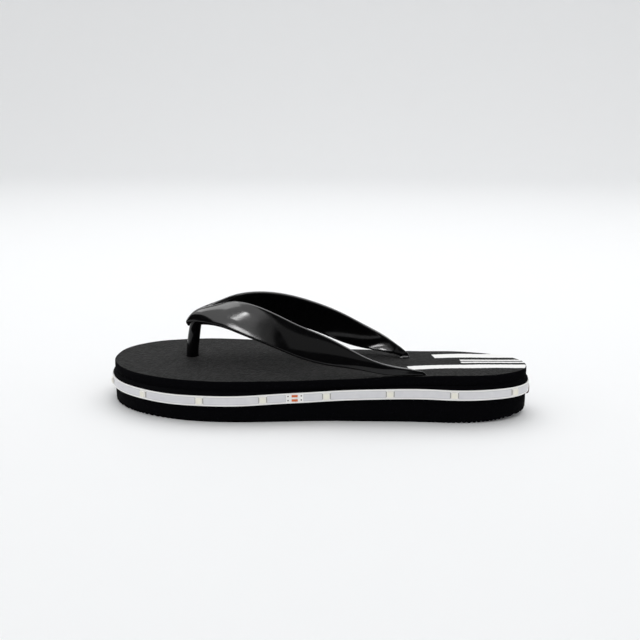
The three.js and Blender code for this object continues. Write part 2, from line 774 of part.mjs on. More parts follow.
// ---- assembly ----
const foam = material('#232324', 0.9);
const footbedFoam = material('#444444', 0.95);
const rubber = material('#141517', 0.8);
const pvc = material('#0b0b0c', 0.25);
const solderMask = material('#d2d2d6', 0.5);
const adhesive = material('#e8e8e6', 0.8);
const ledBody = material('#e4e1d0', 0.4);
const copper = material('#d7703c', 0.4, 0.8);
const plastic = material('#2a2a2d', 0.5);
const steel = material('#b8bcc0', 0.3, 0.9);
const board = material('#1f6b3c', 0.6);

addPart('footbed', footbed(), footbedFoam);
addPart('foam_core', core(pocket), foam);
addPart('outsole', outsole(pocket, channel, buttonHole), rubber);
addPart('strap', strap(), pvc);
addPart('strip_tape', sideBand(
  stripStart, stripEnd, tapeInner, tapeOuter, STRIP_WIDTH - 2 * TAPE_INSET,
), adhesive);
addPart('led_strip', sideBand(stripStart, stripEnd, stripInner, stripOuter, STRIP_WIDTH), solderMask);

for (let i = 0; i < ledCount; i += 1) {
  const spot = railPoint(stripStart + (i + 0.5) * LED_PITCH, ledInner + LED_HEIGHT / 2);
  const chip = new THREE.BoxGeometry(LED_SIZE, LED_HEIGHT, LED_SIZE);
  const mesh = addPart(`led_${String(i + 1).padStart(2, '0')}`, chip, ledBody);
  mesh.position.copy(spot.position);
  mesh.rotation.z = spot.angle;
}

for (let i = LEDS_PER_CUT; i < ledCount; i += LEDS_PER_CUT) {
  for (const [label, side] of [['lower', -1], ['upper', 1]]) {
    const spot = railPoint(stripStart + i * LED_PITCH, ledInner + PAD_THICKNESS / 2);
    const pad = new THREE.BoxGeometry(PAD_LENGTH, PAD_THICKNESS, PAD_WIDTH);
    const mesh = addPart(`cut_pad_${i / LEDS_PER_CUT}_${label}`, pad, copper);
    mesh.position.copy(spot.position);
    mesh.position.z += side * PAD_SPACING / 2;
    mesh.rotation.z = spot.angle;
  }
}

const lowerContact = insideFloor + FLAT_GAP;
const firstCell = lowerContact + CONTACT_THICKNESS + FLAT_GAP;
const secondCell = firstCell + CELL_THICKNESS + FLAT_GAP;
const upperContact = secondCell + CELL_THICKNESS + FLAT_GAP;
addPart('module_case', moduleCase(), plastic);
addPart('module_lid', moduleLid(), plastic);
addPart('circuit_board', circuitBoard(), board);
addPart('push_switch', pushSwitch(), plastic);
addPart('contact_lower', disc(CELL_RADIUS * 0.6, lowerContact, lowerContact + CONTACT_THICKNESS), steel);
addPart('coin_cell_1', disc(CELL_RADIUS, firstCell, firstCell + CELL_THICKNESS), steel);
addPart('coin_cell_2', disc(CELL_RADIUS, secondCell, secondCell + CELL_THICKNESS), steel);
addPart('contact_upper', disc(CELL_RADIUS * 0.4, upperContact, upperContact + CONTACT_THICKNESS), steel);
addPart('lead_red', lead(1), material('#b3201c', 0.5));
addPart('lead_black', lead(-1), material('#161616', 0.5));
addPart('switch_button', switchButton(), rubber);

export default group;
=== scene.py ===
import math

import bmesh
import bpy
import numpy as np
from bpy.props import FloatProperty, FloatVectorProperty, PointerProperty
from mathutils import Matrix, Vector


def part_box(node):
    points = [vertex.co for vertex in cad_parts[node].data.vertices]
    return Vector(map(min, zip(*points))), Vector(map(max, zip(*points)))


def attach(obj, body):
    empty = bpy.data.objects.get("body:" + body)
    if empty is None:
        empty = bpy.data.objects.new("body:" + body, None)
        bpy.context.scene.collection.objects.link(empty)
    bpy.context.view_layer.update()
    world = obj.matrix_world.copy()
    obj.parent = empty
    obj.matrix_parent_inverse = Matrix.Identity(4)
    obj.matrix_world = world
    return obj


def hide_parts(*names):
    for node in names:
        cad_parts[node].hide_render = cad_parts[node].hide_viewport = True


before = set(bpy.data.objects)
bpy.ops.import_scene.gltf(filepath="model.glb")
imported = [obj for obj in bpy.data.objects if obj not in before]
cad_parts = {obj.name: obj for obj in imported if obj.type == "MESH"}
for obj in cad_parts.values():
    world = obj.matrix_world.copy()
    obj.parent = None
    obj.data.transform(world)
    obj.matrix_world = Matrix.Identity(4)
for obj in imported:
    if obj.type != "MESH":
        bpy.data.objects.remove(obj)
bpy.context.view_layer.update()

bl_info = {
    "name": "Light strip flip flop",
    "version": (1, 0, 0),
    "blender": (4, 5, 0),
    "location": "View3D > Sidebar > Flip Flop",
    "description": "Builds a left flip flop with a light strip round its sole",
    "category": "Object",
}

MM = 0.001  # shapes are worked out in millimetres and put into meshes in metres
STRIP_WIDTH = 6.3


def linear(hex_colour):
    """Linear colour of an sRGB hex value: v / 12.92 up to 0.04045, and above it
    ((v + 0.055) / 1.055) ^ 2.4."""
    shares = [int(hex_colour[i:i + 2], 16) / 255 for i in (1, 3, 5)]
    return tuple(v / 12.92 if v <= 0.04045 else ((v + 0.055) / 1.055) ** 2.4 for v in shares)


# ---- sizes and colours that a user would change ----

def length(name, description, millimetres):
    return FloatProperty(name=name, description=description, default=millimetres * MM,
                         min=0, unit="LENGTH", precision=5)


def colour(name, description, hex_colour):
    return FloatVectorProperty(name=name, description=description, default=linear(hex_colour),
                               min=0, max=1, size=3, subtype="COLOR")


def share(name, description, default):
    return FloatProperty(name=name, description=description, default=default,
                         min=0, max=1, subtype="FACTOR")


def power(name, description, watts):
    return FloatProperty(name=name, description=description, default=watts,
                         min=0, unit="POWER")


class SoleSettings(bpy.types.PropertyGroup):
    edge_radius: length("Edge radius", "Rounding of the footbed's upper edge", 0.6)
    dimple: length("Dimple", "How far the footbed sinks round the toe post", 1.9)
    pebble: length("Pebble", "Spacing of the pebbled grain on the footbed", 1.5)
    tread_pitch: length("Tread pitch", "Spacing of the ribs under the outsole", 3.0)
    tread_depth: length("Tread depth", "Depth of the grooves under the outsole", 0.8)
    footbed_colour: colour("Footbed", "Colour of the pebbled foam", "#1c1c1c")
    side_colour: colour("Sides", "Colour of the cut foam", "#060608")
    ink_colour: colour("Heel bars", "Colour of the printed heel bars", "#f4f4f3")


class StrapSettings(bpy.types.PropertyGroup):
    thickness: length("Thickness", "Thickness of the band over the foot", 2.8)
    tail_thickness: length("Tail thickness", "Thickness of the band near its tails", 4.4)
    end_thickness: length("End thickness", "Thickness at the very end of a tail", 3.0)
    camber: length("Camber", "How far the middle of the band stands proud of its edges", 1.2)
    corner: length("Corner", "Radius of the band's corners", 1.05)
    colour: colour("Colour", "Colour of the moulded strap", "#060607")
    roughness: share("Roughness", "Roughness of the moulded gloss", 0.1)


class LightStripSettings(bpy.types.PropertyGroup):
    width: length("Width", "Width of the strip", STRIP_WIDTH)
    ripple: length("Ripple", "How far the strip wanders up and down", 0.22)
    mask_colour: colour("Solder mask", "Colour of the bare solder mask", "#f3f3f1")
    trace_colour: colour("Traces", "Colour of the mask where copper lies under it", "#d7d7db")
    chip_colour: colour("Chip body", "Colour of the chips' housings", "#f1efe8")
    resin_colour: colour("Chip resin", "Colour of the resin over the dies", "#f3f1e4")
    copper_colour: colour("Pads", "Colour of the bare copper pads", "#d9703f")


class StageSettings(bpy.types.PropertyGroup):
    floor_colour: colour("Floor", "Colour of the floor and backdrop", "#f4f5f6")
    ambient: FloatProperty(name="Ambient", description="Strength of the even light all round",
                           default=0.81, min=0)
    top_power: power("Top light", "Power of the light above and behind", 7.5)
    side_power: power("Side light", "Power of the wide light at the left", 35)
    overhead_power: power("Overhead light", "Power of the light that only gloss sees", 34)
    window_power: power("Window light", "Power of each small bright light", 1.7)


# ---- the sole's outline and heights, in millimetres ----

def box_mm(node):
    """Low and high corner of a CAD piece, in millimetres."""
    return np.array(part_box(node)) / MM


sole_low, sole_high = box_mm("outsole")
HALF = (sole_high[0] - sole_low[0]) / 2
BALL = {-1: 51.3, 1: 51.3}  # half widths: -1 is the outer side, 1 the inner side
WAIST = {-1: 40.4, 1: 30.2}
HEEL = {-1: 36.0, 1: 21.3}
TOE_POWER = {-1: 2.1, 1: 2.3}
HEEL_POWER = {-1: 2.1, 1: 2.4}
TOE_SHIFT, HEEL_SHIFT = 5.0, -6.5
BALL_X, WAIST_X, HEEL_X = -0.438 * HALF, 0.151 * HALF, 0.604 * HALF
FOREFOOT_HEIGHT, HEEL_LIFT = 25.7, 4.1
OUTSOLE_TOE, OUTSOLE_HEEL = 10.4, 14.8
FOOTBED_THICKNESS = 5.9
HEEL_BEVEL, BEVEL_LENGTH = 3.4, 42.0
GLUE_GAP = 0.1
HOLE_CLEARANCE, SEAT_CLEARANCE, POCKET_CLEARANCE = 0.15, 0.3, 0.4
BUTTON_HOLE_RADIUS = 3.8
LEAD_SPACING, CHANNEL_HALF = 1.3, 2.1
CORE_BULGE = 0.9
STRIP_SEAT = 0.2


def smoothstep(low, high, value):
    """0 below low, 1 above high, and 3t^2 - 2t^3 between."""
    t = np.clip((value - low) / (high - low), 0, 1)
    return t * t * (3 - 2 * t)


def top_height(x):
    """Footbed's upper face: level forefoot, then a smooth rise to the heel."""
    return FOREFOOT_HEIGHT + HEEL_LIFT * smoothstep(-0.075, 0.72, x / HALF)


def outsole_height(x):
    """Outsole's upper face: thin under the toes, thicker under the heel."""
    return OUTSOLE_TOE + (OUTSOLE_HEEL - OUTSOLE_TOE) * smoothstep(-0.45, 0.45, x / HALF)


def bottom_height(x):
    """Ground face, lifted at the heel by a parabola."""
    return HEEL_BEVEL * np.maximum(0, (x - HALF + BEVEL_LENGTH) / BEVEL_LENGTH) ** 2


def strip_middle(x):
    return outsole_height(x) + STRIP_SEAT + STRIP_WIDTH / 2


def rounded_end(u, power):
    """Quarter of a superellipse: (1 - u^p)^(1/p)."""
    return np.maximum(0, 1 - np.clip(u, 0, 1) ** power) ** (1 / power)


def hermite(x, x1, x2, y1, y2, slope1, slope2):
    """Cubic from (x1, y1) to (x2, y2) with the given slopes at its ends."""
    span = x2 - x1
    t = (x - x1) / span
    rise = 2 * t ** 3 - 3 * t ** 2 + 1
    return (rise * y1 + (t ** 3 - 2 * t ** 2 + t) * span * slope1
            + (1 - rise) * y2 + (t ** 3 - t ** 2) * span * slope2)


def sole_edge(x, side, offset):
    """Edge of the sole at x, grown outward by offset: superellipse ends joined by two cubics."""
    ball, waist, heel = (w[side] + offset for w in (BALL, WAIST, HEEL))
    reach = HALF + offset
    toe_end = rounded_end((BALL_X - x) / (BALL_X + reach), TOE_POWER[side])
    heel_end = rounded_end((x - HEEL_X) / (reach - HEEL_X), HEEL_POWER[side])
    slope = 0.75 * (heel - ball) / (HEEL_X - BALL_X)
    return np.select(
        [x <= BALL_X, x >= HEEL_X, x <= WAIST_X],
        [side * (ball - side * TOE_SHIFT) * toe_end + TOE_SHIFT,
         side * (heel - side * HEEL_SHIFT) * heel_end + HEEL_SHIFT,
         side * hermite(x, BALL_X, WAIST_X, ball, waist, 0, slope)],
        side * hermite(x, WAIST_X, HEEL_X, waist, heel, slope, 0))


def sole_outline(offset, stations):
    """Closed outline from the toe tip along the outer side to the heel, and back inside."""
    out = -(HALF + offset) * np.cos(np.pi * np.arange(stations + 1) / stations)
    back = out[-2:0:-1]
    x = np.concatenate([out, back])
    y = np.concatenate([sole_edge(out, -1, offset), sole_edge(back, 1, offset)])
    return x, y


class Rail:
    """The core's side as a closed path: a point at distance s from the toe tip, moved outward."""

    def __init__(self, stations=360):
        x, y = sole_outline(CORE_BULGE, stations)
        self.x, self.y = np.append(x, x[0]), np.append(y, y[0])
        steps = np.hypot(np.diff(self.x), np.diff(self.y))
        self.s = np.concatenate([[0], np.cumsum(steps)])
        self.length = self.s[-1]
        self.heel_at = self.s[stations]
        around_x = np.roll(x, -1) - np.roll(x, 1)
        around_y = np.roll(y, -1) - np.roll(y, 1)
        size = np.hypot(around_x, around_y)
        self.nx = np.append(around_y / size, around_y[0] / size[0])
        self.ny = np.append(-around_x / size, -around_x[0] / size[0])

    def at(self, s, offset):
        s = np.mod(s, self.length)
        nx, ny = np.interp(s, self.s, self.nx), np.interp(s, self.s, self.ny)
        size = np.hypot(nx, ny)
        nx, ny = nx / size, ny / size
        return (np.interp(s, self.s, self.x) + nx * offset,
                np.interp(s, self.s, self.y) + ny * offset, nx, ny)


rail = Rail()

# ---- holes for the strap ----

POST = {"x": -HALF + 49.2, "y": 8.4, "lean": 0.0, "radius": 4.0, "plug": 9.5}
OUTER_HOLE = {"x": HALF - 65.5, "y": float(sole_edge(np.array([HALF - 65.5]), -1, 0)[0]) + 4.6,
              "lean": 4.7, "radius": 2.5, "plug": 7.0}
INNER_HOLE = {"x": HALF - 76.0, "y": float(sole_edge(np.array([HALF - 76.0]), 1, 0)[0]) - 15.2,
              "lean": 0.0, "radius": 2.5, "plug": 7.0}
HOLES = (POST, OUTER_HOLE, INNER_HOLE)
PLUG_BOTTOM, PLUG_TOP = 0.9, 3.1


def hole_centre(hole, z):
    """The hole's axis: it leans in a straight line from the footbed down to the plug."""
    top = float(top_height(hole["x"]))
    down = np.maximum(0, (top - z) / (top - PLUG_TOP))
    return hole["x"], hole["y"] + hole["lean"] * down, z


# ---- meshes ----

def put_mesh(name, points, faces):
    mesh = bpy.data.meshes.new(name)
    mesh.from_pydata((np.asarray(points) * MM).tolist(), [], faces)
    mesh.validate()
    mesh.update()
    return mesh


def put_object(name, mesh):
    piece = bpy.data.objects.new(name, mesh)
    bpy.context.scene.collection.objects.link(piece)
    return piece


def shade(mesh, sharp=35):
    """Smooth shading, with edges sharper than the given degrees kept crisp."""
    mesh.shade_smooth()
    mesh.set_sharp_from_angle(angle=math.radians(sharp))


def face_out(piece):
    """Turn the faces of a closed mesh outward, if its volume comes out negative."""
    work = bmesh.new()
    work.from_mesh(piece.data)
    if work.calc_volume(signed=True) < 0:
        bmesh.ops.reverse_faces(work, faces=work.faces[:])
        work.to_mesh(piece.data)
    work.free()


def closed_piece(name, shape, sharp):
    """An object from points and faces, turned outward and shaded."""
    piece = put_object(name, put_mesh(name, *shape))
    face_out(piece)
    shade(piece.data, sharp)
    return piece


def seat(piece, material, slot, replaced, body="sole"):
    """Give the piece its material and its body, and hide the nodes that it stands for; the slot is
    not used.
    """
    piece.data.materials.clear()
    piece.data.materials.append(material)
    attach(piece, body)
    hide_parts(*replaced)
    return piece


def band_faces(rows, columns):
    """Quads between rows of closed rings; with rings that turn left going up, they face outward."""
    row, column = np.meshgrid(np.arange(rows - 1), np.arange(columns), indexing="ij")
    a = row * columns + column
    b = row * columns + (column + 1) % columns
    return np.stack([a, b, b + columns, a + columns], axis=-1).reshape(-1, 4).tolist()


def tube(rings):
    """A closed bar through rings of points, rows x columns x 3, with one face over each end."""
    rows, columns = rings.shape[:2]
    faces = band_faces(rows, columns)
    faces.append(list(range(columns - 1, -1, -1)))
    faces.append(list(range((rows - 1) * columns, rows * columns)))
    return rings.reshape(-1, 3), faces


def cap_faces(base, stations, across, ring, upward):
    """Faces of a cap between the outer and the inner edge at equal x, and a fan at each tip."""
    index = np.empty((stations - 1, across + 1), int)
    i = np.arange(1, stations)
    index[:, 0] = ring + i
    index[:, -1] = ring + 2 * stations - i
    index[:, 1:-1] = base + np.arange((stations - 1) * (across - 1)).reshape(stations - 1, -1)
    quads = np.stack([index[:-1, :-1], index[1:, :-1], index[1:, 1:], index[:-1, 1:]], -1)
    toe = np.stack([np.full(across, ring), index[0, :-1], index[0, 1:]], -1)
    heel = np.stack([index[-1, :-1], np.full(across, ring + stations), index[-1, 1:]], -1)
    parts = [quads.reshape(-1, 4), toe, heel]
    return [f if upward else f[::-1] for part in parts for f in part.tolist()]


def sole_sheet(levels, stations, across_bottom, across_top):
    """A sheet of the sole: one outline per level, at height f(x, y) and grown by its offset, with
    the lowest and highest level filled by straight lines from outer to inner edge at equal x."""
    rings, caps = [], []
    for offset, height in levels:
        x, y = sole_outline(offset, stations)
        rings.append(np.stack([x, y, height(x, y)], -1))
    count = 2 * stations
    points, faces = np.concatenate(rings), band_faces(len(levels), count)
    for level, across, upward in ((0, across_bottom, False), (len(levels) - 1, across_top, True)):
        ring, height = rings[level], levels[level][1]
        outer, inner = ring[1:stations], ring[:stations:-1]
        share_across = np.arange(1, across)[None, :, None] / across
        grid = (outer[:, None] * (1 - share_across) + inner[:, None] * share_across).reshape(-1, 3)
        grid[:, 2] = height(grid[:, 0], grid[:, 1])
        base = len(points) + sum(len(c) for c in caps)
        faces += cap_faces(base, stations, across, level * count, upward)
        caps.append(grid)
    return np.concatenate([points, *caps]), faces


def round_bar(stations, sides):
    """Rings of a round bar: each station gives its centre, its radius and its tilt to the heel."""
    angle = 2 * np.pi * np.arange(sides) / sides
    rings = []
    for (x, y, z), radius, tilt in stations:
        along = radius * np.cos(angle)
        rings.append(np.stack([x + along * math.cos(tilt), y + radius * np.sin(angle),
                               z + along * math.sin(tilt)], -1))
    return tube(np.array(rings))


def block(low, high):
    """A box between two corners."""
    corners = [[(low, high)[i][0], (low, high)[j][1], (low, high)[k][2]]
               for k in (0, 1) for j, i in ((0, 0), (0, 1), (1, 1), (1, 0))]
    return np.array(corners), [[3, 2, 1, 0], [4, 5, 6, 7], [0, 1, 5, 4], [1, 2, 6, 5],
                               [2, 3, 7, 6], [3, 0, 4, 7]]


def combine(piece, shapes, operation):
    """Cut the shapes out of the piece, or join them to it, and keep the resulting mesh."""
    tools = []
    for number, (points, faces) in enumerate(shapes):
        tool = put_object(f"tool_{number}", put_mesh(f"tool_{number}", points, faces))
        tools.append(tool)
        step = piece.modifiers.new(f"step_{number}", "BOOLEAN")
        step.operation, step.solver, step.object = operation, "MANIFOLD", tool
    bpy.context.view_layer.update()
    result = piece.evaluated_get(bpy.context.evaluated_depsgraph_get())
    mesh = bpy.data.meshes.new_from_object(result)
    if len(mesh.polygons) < 10:
        raise RuntimeError(f"{piece.name}: joining or cutting left nothing")
    piece.modifiers.clear()
    piece.data = mesh
    for tool in tools:
        bpy.data.objects.remove(tool)


def hole_shafts():
    shafts = []
    for hole in HOLES:
        radius = hole["radius"] + HOLE_CLEARANCE
        top = float(top_height(hole["x"]))
        low = hole_centre(hole, PLUG_TOP)
        shafts.append(round_bar([
            ((low[0], low[1], -5), radius, 0), (low, radius, 0),
            (hole_centre(hole, top), radius, 0), ((hole["x"], hole["y"], top + 10), radius, 0),
        ], 48))
    return shafts


def plug_seats():
    seats = []
    for hole in HOLES:
        x, y, z = hole_centre(hole, PLUG_TOP)
        radius = hole["plug"] + SEAT_CLEARANCE
        seats.append(round_bar([((x, y, -5), radius, 0), ((x, y, z + SEAT_CLEARANCE), radius, 0)],
                               64))
    return seats


# ---- materials ----

def add_node(tree, kind, settings, inputs):
    """Add one node, set its settings, and set each input or link it when a socket is given."""
    node = tree.nodes.new(kind)
    for name, value in settings.items():
        setattr(node, name, value)
    for name, value in inputs.items():
        if isinstance(value, bpy.types.NodeSocket):
            tree.links.new(value, node.inputs[name])
        else:
            node.inputs[name].default_value = value
    return node


def rgba(colour_value):
    return (*colour_value, 1.0)


def start_material(name, colour_value, roughness, **shader_inputs):
    """A material with its shader, its output and its coordinates in the object's space."""
    material = bpy.data.materials.new(name)
    material.use_nodes = True
    material.diffuse_color = rgba(colour_value)
    tree = material.node_tree
    tree.nodes.clear()
    shader = add_node(tree, "ShaderNodeBsdfPrincipled", {}, {
        "Base Color": rgba(colour_value), "Roughness": roughness,
        **{name.replace("_", " "): value for name, value in shader_inputs.items()}})
    add_node(tree, "ShaderNodeOutputMaterial", {}, {"Surface": shader.outputs[0]})
    place = add_node(tree, "ShaderNodeTexCoord", {}, {}).outputs["Object"]
    return material, tree, shader, place


def bump(tree, shader, height, distance, strength=1.0):
    node = add_node(tree, "ShaderNodeBump", {}, {
        "Height": height, "Distance": distance * MM, "Strength": strength})
    tree.links.new(node.outputs[0], shader.inputs["Normal"])


def calc(tree, operation, *values):
    """Result of a sum on numbers and sockets."""
    settings = {"operation": operation}
    return add_node(tree, "ShaderNodeMath", settings, dict(enumerate(values))).outputs[0]


def ranged(tree, value, low, high, to_low=0.0, to_high=1.0):
    """The value, run from low..high to to_low..to_high and held at both ends."""
    return add_node(tree, "ShaderNodeMapRange", {}, {
        "Value": value, "From Min": low, "From Max": high,
        "To Min": to_low, "To Max": to_high}).outputs[0]


def noise(tree, place, scale, detail):
    return add_node(tree, "ShaderNodeTexNoise", {}, {
        "Vector": place, "Scale": scale, "Detail": detail}).outputs[0]


def mixed(tree, factor, first, second):
    """Colour that runs from the first to the second, each a colour or a socket, with the factor."""
    first, second = (c if isinstance(c, bpy.types.NodeSocket) else rgba(c)
                     for c in (first, second))
    return add_node(tree, "ShaderNodeMix", {"data_type": "RGBA"}, {
        0: factor, 6: first, 7: second}).outputs[2]


def tint(tree, shader, factor, first, second):
    """Let the base colour run from the first to the second colour with the factor."""
    tree.links.new(mixed(tree, factor, first, second), shader.inputs["Base Color"])


def scaled(colour_value, factor):
    return tuple(min(1, c * factor) for c in colour_value)


BAR_ANGLE = math.atan(0.123)  # the heel bars run a little across the sole
# middle, half width and start of each bar
HEEL_BARS = ((-25.3, 3.8, 57.2), (-16.2, 1.3, 91.0), (-11.6, 1.3, 91.0), (-1.1, 4.2, 75.2))


def footbed_foam(settings):
    """EVA foam sheet, hot-pressed with a pebbled grain: matt, nearly without sheen. The heel
    carries two wide and two narrow screen-printed bars in white ink, which mostly fills the
    grain."""
    base = tuple(settings.footbed_colour)
    material, tree, shader, place = start_material(
        "pebbled_eva_foam", base, 0.7, IOR=1.49, Specular_IOR_Level=0.06)
    grain = add_node(tree, "ShaderNodeTexVoronoi", {"feature": "SMOOTH_F1"}, {
        "Vector": place, "Scale": 1 / settings.pebble, "Smoothness": 0.6}).outputs["Distance"]
    height = calc(tree, "MULTIPLY_ADD", noise(tree, place, 2600, 2.0), 0.4, grain)
    mottle = calc(tree, "MULTIPLY_ADD", noise(tree, place, 300, 3.0), 2.2, grain)
    foam = mixed(tree, ranged(tree, mottle, 0.95, 1.85), scaled(base, 1.6), scaled(base, 0.5))

    turned = add_node(tree, "ShaderNodeMapping", {"vector_type": "POINT"}, {
        "Vector": place, "Rotation": (0, 0, -BAR_ANGLE), "Scale": (1 / MM, 1 / MM, 1 / MM)})
    split = add_node(tree, "ShaderNodeSeparateXYZ", {}, {0: turned.outputs[0]})
    ragged = calc(tree, "MULTIPLY_ADD", grain, 0.55, -0.3)
    mask = 0.0
    for middle, half, start in HEEL_BARS:
        off = calc(tree, "SUBTRACT", split.outputs["Y"], middle)
        uneven = calc(tree, "ADD", calc(tree, "ABSOLUTE", off), ragged)
        within = ranged(tree, uneven, half + 0.12, half - 0.12)
        slant = calc(tree, "MULTIPLY_ADD", off, 0.16, split.outputs["X"])
        behind = ranged(tree, slant, start - 0.15, start + 0.15)
        mask = calc(tree, "MAXIMUM", mask, calc(tree, "MULTIPLY", within, behind))
    tint(tree, shader, mask, foam, settings.ink_colour)
    softened = calc(tree, "MULTIPLY_ADD", mask, -0.7, 1.0)
    bump(tree, shader, calc(tree, "MULTIPLY", height, softened), 0.5, 0.8)
    return material


def cut_foam(name, colour_value, roughness, saw):
    """EVA foam cut with a blade: dull black, open cells, faint lines where the blade ran."""
    material, tree, shader, place = start_material(
        name, colour_value, roughness, IOR=1.4, Specular_IOR_Level=0.02)
    cells = add_node(tree, "ShaderNodeTexVoronoi", {}, {
        "Vector": place, "Scale": 1 / (0.7 * MM)}).outputs["Distance"]
    stretched = add_node(tree, "ShaderNodeMapping", {}, {"Vector": place, "Scale": (40, 40, 1400)})
    lines = noise(tree, stretched.outputs[0], 1.0, 2.0)
    tint(tree, shader, cells, scaled(colour_value, 0.8), scaled(colour_value, 1.5))
    bump(tree, shader, calc(tree, "MULTIPLY_ADD", lines, saw, cells), 0.25, 0.5)
    return material


def moulded_pvc(settings):
    """PVC injection-moulded in a polished tool: deep black gloss, with the slight waves that a soft
    moulding shows and a faint bloom that dulls it in places."""
    polish = settings.roughness
    material, tree, shader, place = start_material(
        "gloss_moulded_pvc", tuple(settings.colour), polish, IOR=1.53, Specular_IOR_Level=0.27)
    bloom = noise(tree, place, 180, 4.0)
    tree.links.new(ranged(tree, bloom, 0.3, 0.8, polish * 0.8, polish * 1.5),
                   shader.inputs["Roughness"])
    bump(tree, shader, noise(tree, place, 70, 1.0), 0.5, 0.12)
    return material


LED_PITCH, LEDS_PER_CUT = 38.4, 4
SURFACE_MAP = "surface"


def own_map(tree):
    """Separated coordinates of a piece's own map."""
    flat = add_node(tree, "ShaderNodeUVMap", {"uv_map": SURFACE_MAP}, {})
    return add_node(tree, "ShaderNodeSeparateXYZ", {}, {0: flat.outputs[0]})


def masked_strip(settings):
    """Flexible circuit with a white solder mask: satin white, greyer over the copper traces, which
    stand a little proud with a darker edge. Small brown test dots lie beside each cut mark, and a
    dull grey band at both ends of each chip stands partly for its solder fillet and partly for
    painted shade cast by the chip.
    The pattern follows the strip's own map: u is millimetres along it and v millimetres up it."""
    mask_colour = tuple(settings.mask_colour)
    material, tree, shader, place = start_material("white_solder_mask", mask_colour, 0.42, IOR=1.5)
    along, up = own_map(tree).outputs[:2]
    swing = calc(tree, "PINGPONG", along, LED_PITCH / 2)
    from_chip = calc(tree, "SUBTRACT", LED_PITCH / 2, swing)
    from_cut = calc(tree, "PINGPONG", along, LED_PITCH * LEDS_PER_CUT / 2)
    height = calc(tree, "ABSOLUTE", up)
    # signed distance inside each trace, the smallest of three
    ends = calc(tree, "SMOOTH_MIN", calc(tree, "SUBTRACT", from_chip, 2.5),
                calc(tree, "SUBTRACT", from_cut, 5.4), 0.5)
    inside = calc(tree, "SMOOTH_MIN", ends, calc(tree, "SUBTRACT", 2.15, height), 0.7)
    trace = ranged(tree, inside, -0.1, 0.1)
    rim = ranged(tree, calc(tree, "ABSOLUTE", inside), 0.3, 0.08, 0.0, 0.3)
    dot_place = add_node(tree, "ShaderNodeCombineXYZ", {}, {
        0: calc(tree, "SUBTRACT", from_cut, 4.0), 1: calc(tree, "SUBTRACT", height, 1.3)})
    dot_off = add_node(tree, "ShaderNodeVectorMath", {"operation": "LENGTH"}, {
        0: dot_place.outputs[0]}).outputs["Value"]
    dot = ranged(tree, dot_off, 0.55, 0.38, 0.0, 0.9)
    uneven = ranged(tree, noise(tree, place, 260, 3.0), 0.3, 0.75, 0.75, 1.0)
    toned = mixed(tree, calc(tree, "MULTIPLY", trace, uneven), mask_colour, settings.trace_colour)
    rimmed = mixed(tree, rim, toned, linear("#8b8b92"))
    dotted = mixed(tree, dot, rimmed, linear("#4a3a30"))
    # dull grey band just beside both ends of each chip: partly the solder fillet, partly painted
    # shade cast by the chip
    fillet_and_shade_off = calc(tree, "ABSOLUTE", calc(tree, "SUBTRACT", from_chip, 2.3))
    fillet_and_shade = calc(tree, "MULTIPLY", ranged(tree, fillet_and_shade_off, 0.36, 0.2, 0.0, 0.75),
                  ranged(tree, height, 1.8, 1.6))
    tint(tree, shader, fillet_and_shade, dotted, linear("#8f8d86"))
    bump(tree, shader, trace, 0.12, 0.5)
    return material


def speckled(name, colour_value, roughness, grain_mm, depth_mm, variation, **shader_inputs):
    """A finish with one fine grain, which varies the colour and gives the relief."""
    material, tree, shader, place = start_material(
        name, colour_value, roughness, **shader_inputs)
    grain = noise(tree, place, 1 / (grain_mm * MM), 3.0)
    tint(tree, shader, grain, scaled(colour_value, 1 - variation),
         scaled(colour_value, 1 + variation))
    bump(tree, shader, grain, depth_mm, 0.5)
    return material


def dress_node(node, material):
    """Put a better material on every slot of a CAD node."""
    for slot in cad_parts[node].material_slots:
        slot.material = material


# ---- pieces ----

class FLIPFLOP_OT_footbed(bpy.types.Operator):
    """Pebbled upper sheet of the sole, with its heel print"""

    bl_idname = "flip_flop.footbed"
    bl_label = "Footbed"

    def execute(self, context):
        settings = context.scene.flip_flop_sole
        radius = settings.edge_radius / MM
        depth = settings.dimple / MM

        def top(x, y):
            """The footbed's face, less a bell-shaped dimple at each hole, plus slow waves."""
            z = top_height(x)
            for hole, share_of_depth, spread in ((POST, 1.0, 6.5), (OUTER_HOLE, 0.25, 5.0),
                                                 (INNER_HOLE, 0.3, 6.0)):
                off = np.hypot(x - hole["x"], y - hole["y"])
                z = z - depth * share_of_depth * np.exp(-(off / spread) ** 2)
            return z + 0.12 * np.sin(x / 9.1 + 1.3) * np.sin(y / 7.3 + x / 31)

        def lowered(drop):
            return lambda x, y: top(x, y) - drop

        turn = np.linspace(0, np.pi / 2, 6)
        levels = [(-0.25, lambda x, y: top_height(x) - FOOTBED_THICKNESS),
                  (0.0, lambda x, y: top_height(x) - FOOTBED_THICKNESS + 0.25),
                  (0.05, lambda x, y: top_height(x) - FOOTBED_THICKNESS / 2)]
        levels += [(-radius * (1 - math.cos(a)), lowered(radius * (1 - math.sin(a))))
                   for a in turn]
        points, faces = sole_sheet(levels, 380, 10, 76)
        piece = put_object("eva_footbed", put_mesh("eva_footbed", points, faces))
        combine(piece, hole_shafts(), "DIFFERENCE")
        shade(piece.data, 50)
        seat(piece, footbed_foam(settings), "footbed_foam", ["footbed"])
        piece.data.materials.append(
            cut_foam("cut_eva_edge", tuple(settings.side_colour), 0.9, 0.4))
        normals = np.empty(len(piece.data.polygons) * 3, np.float32)
        piece.data.polygons.foreach_get("normal", normals)
        sides = (normals.reshape(-1, 3)[:, 2] < 0.9).astype(np.int32)
        piece.data.polygons.foreach_set("material_index", sides)
        return {"FINISHED"}


def module_pocket():
    low, high = box_mm("module_case")[0], box_mm("module_lid")[1]
    return block(low - POCKET_CLEARANCE, high + POCKET_CLEARANCE)


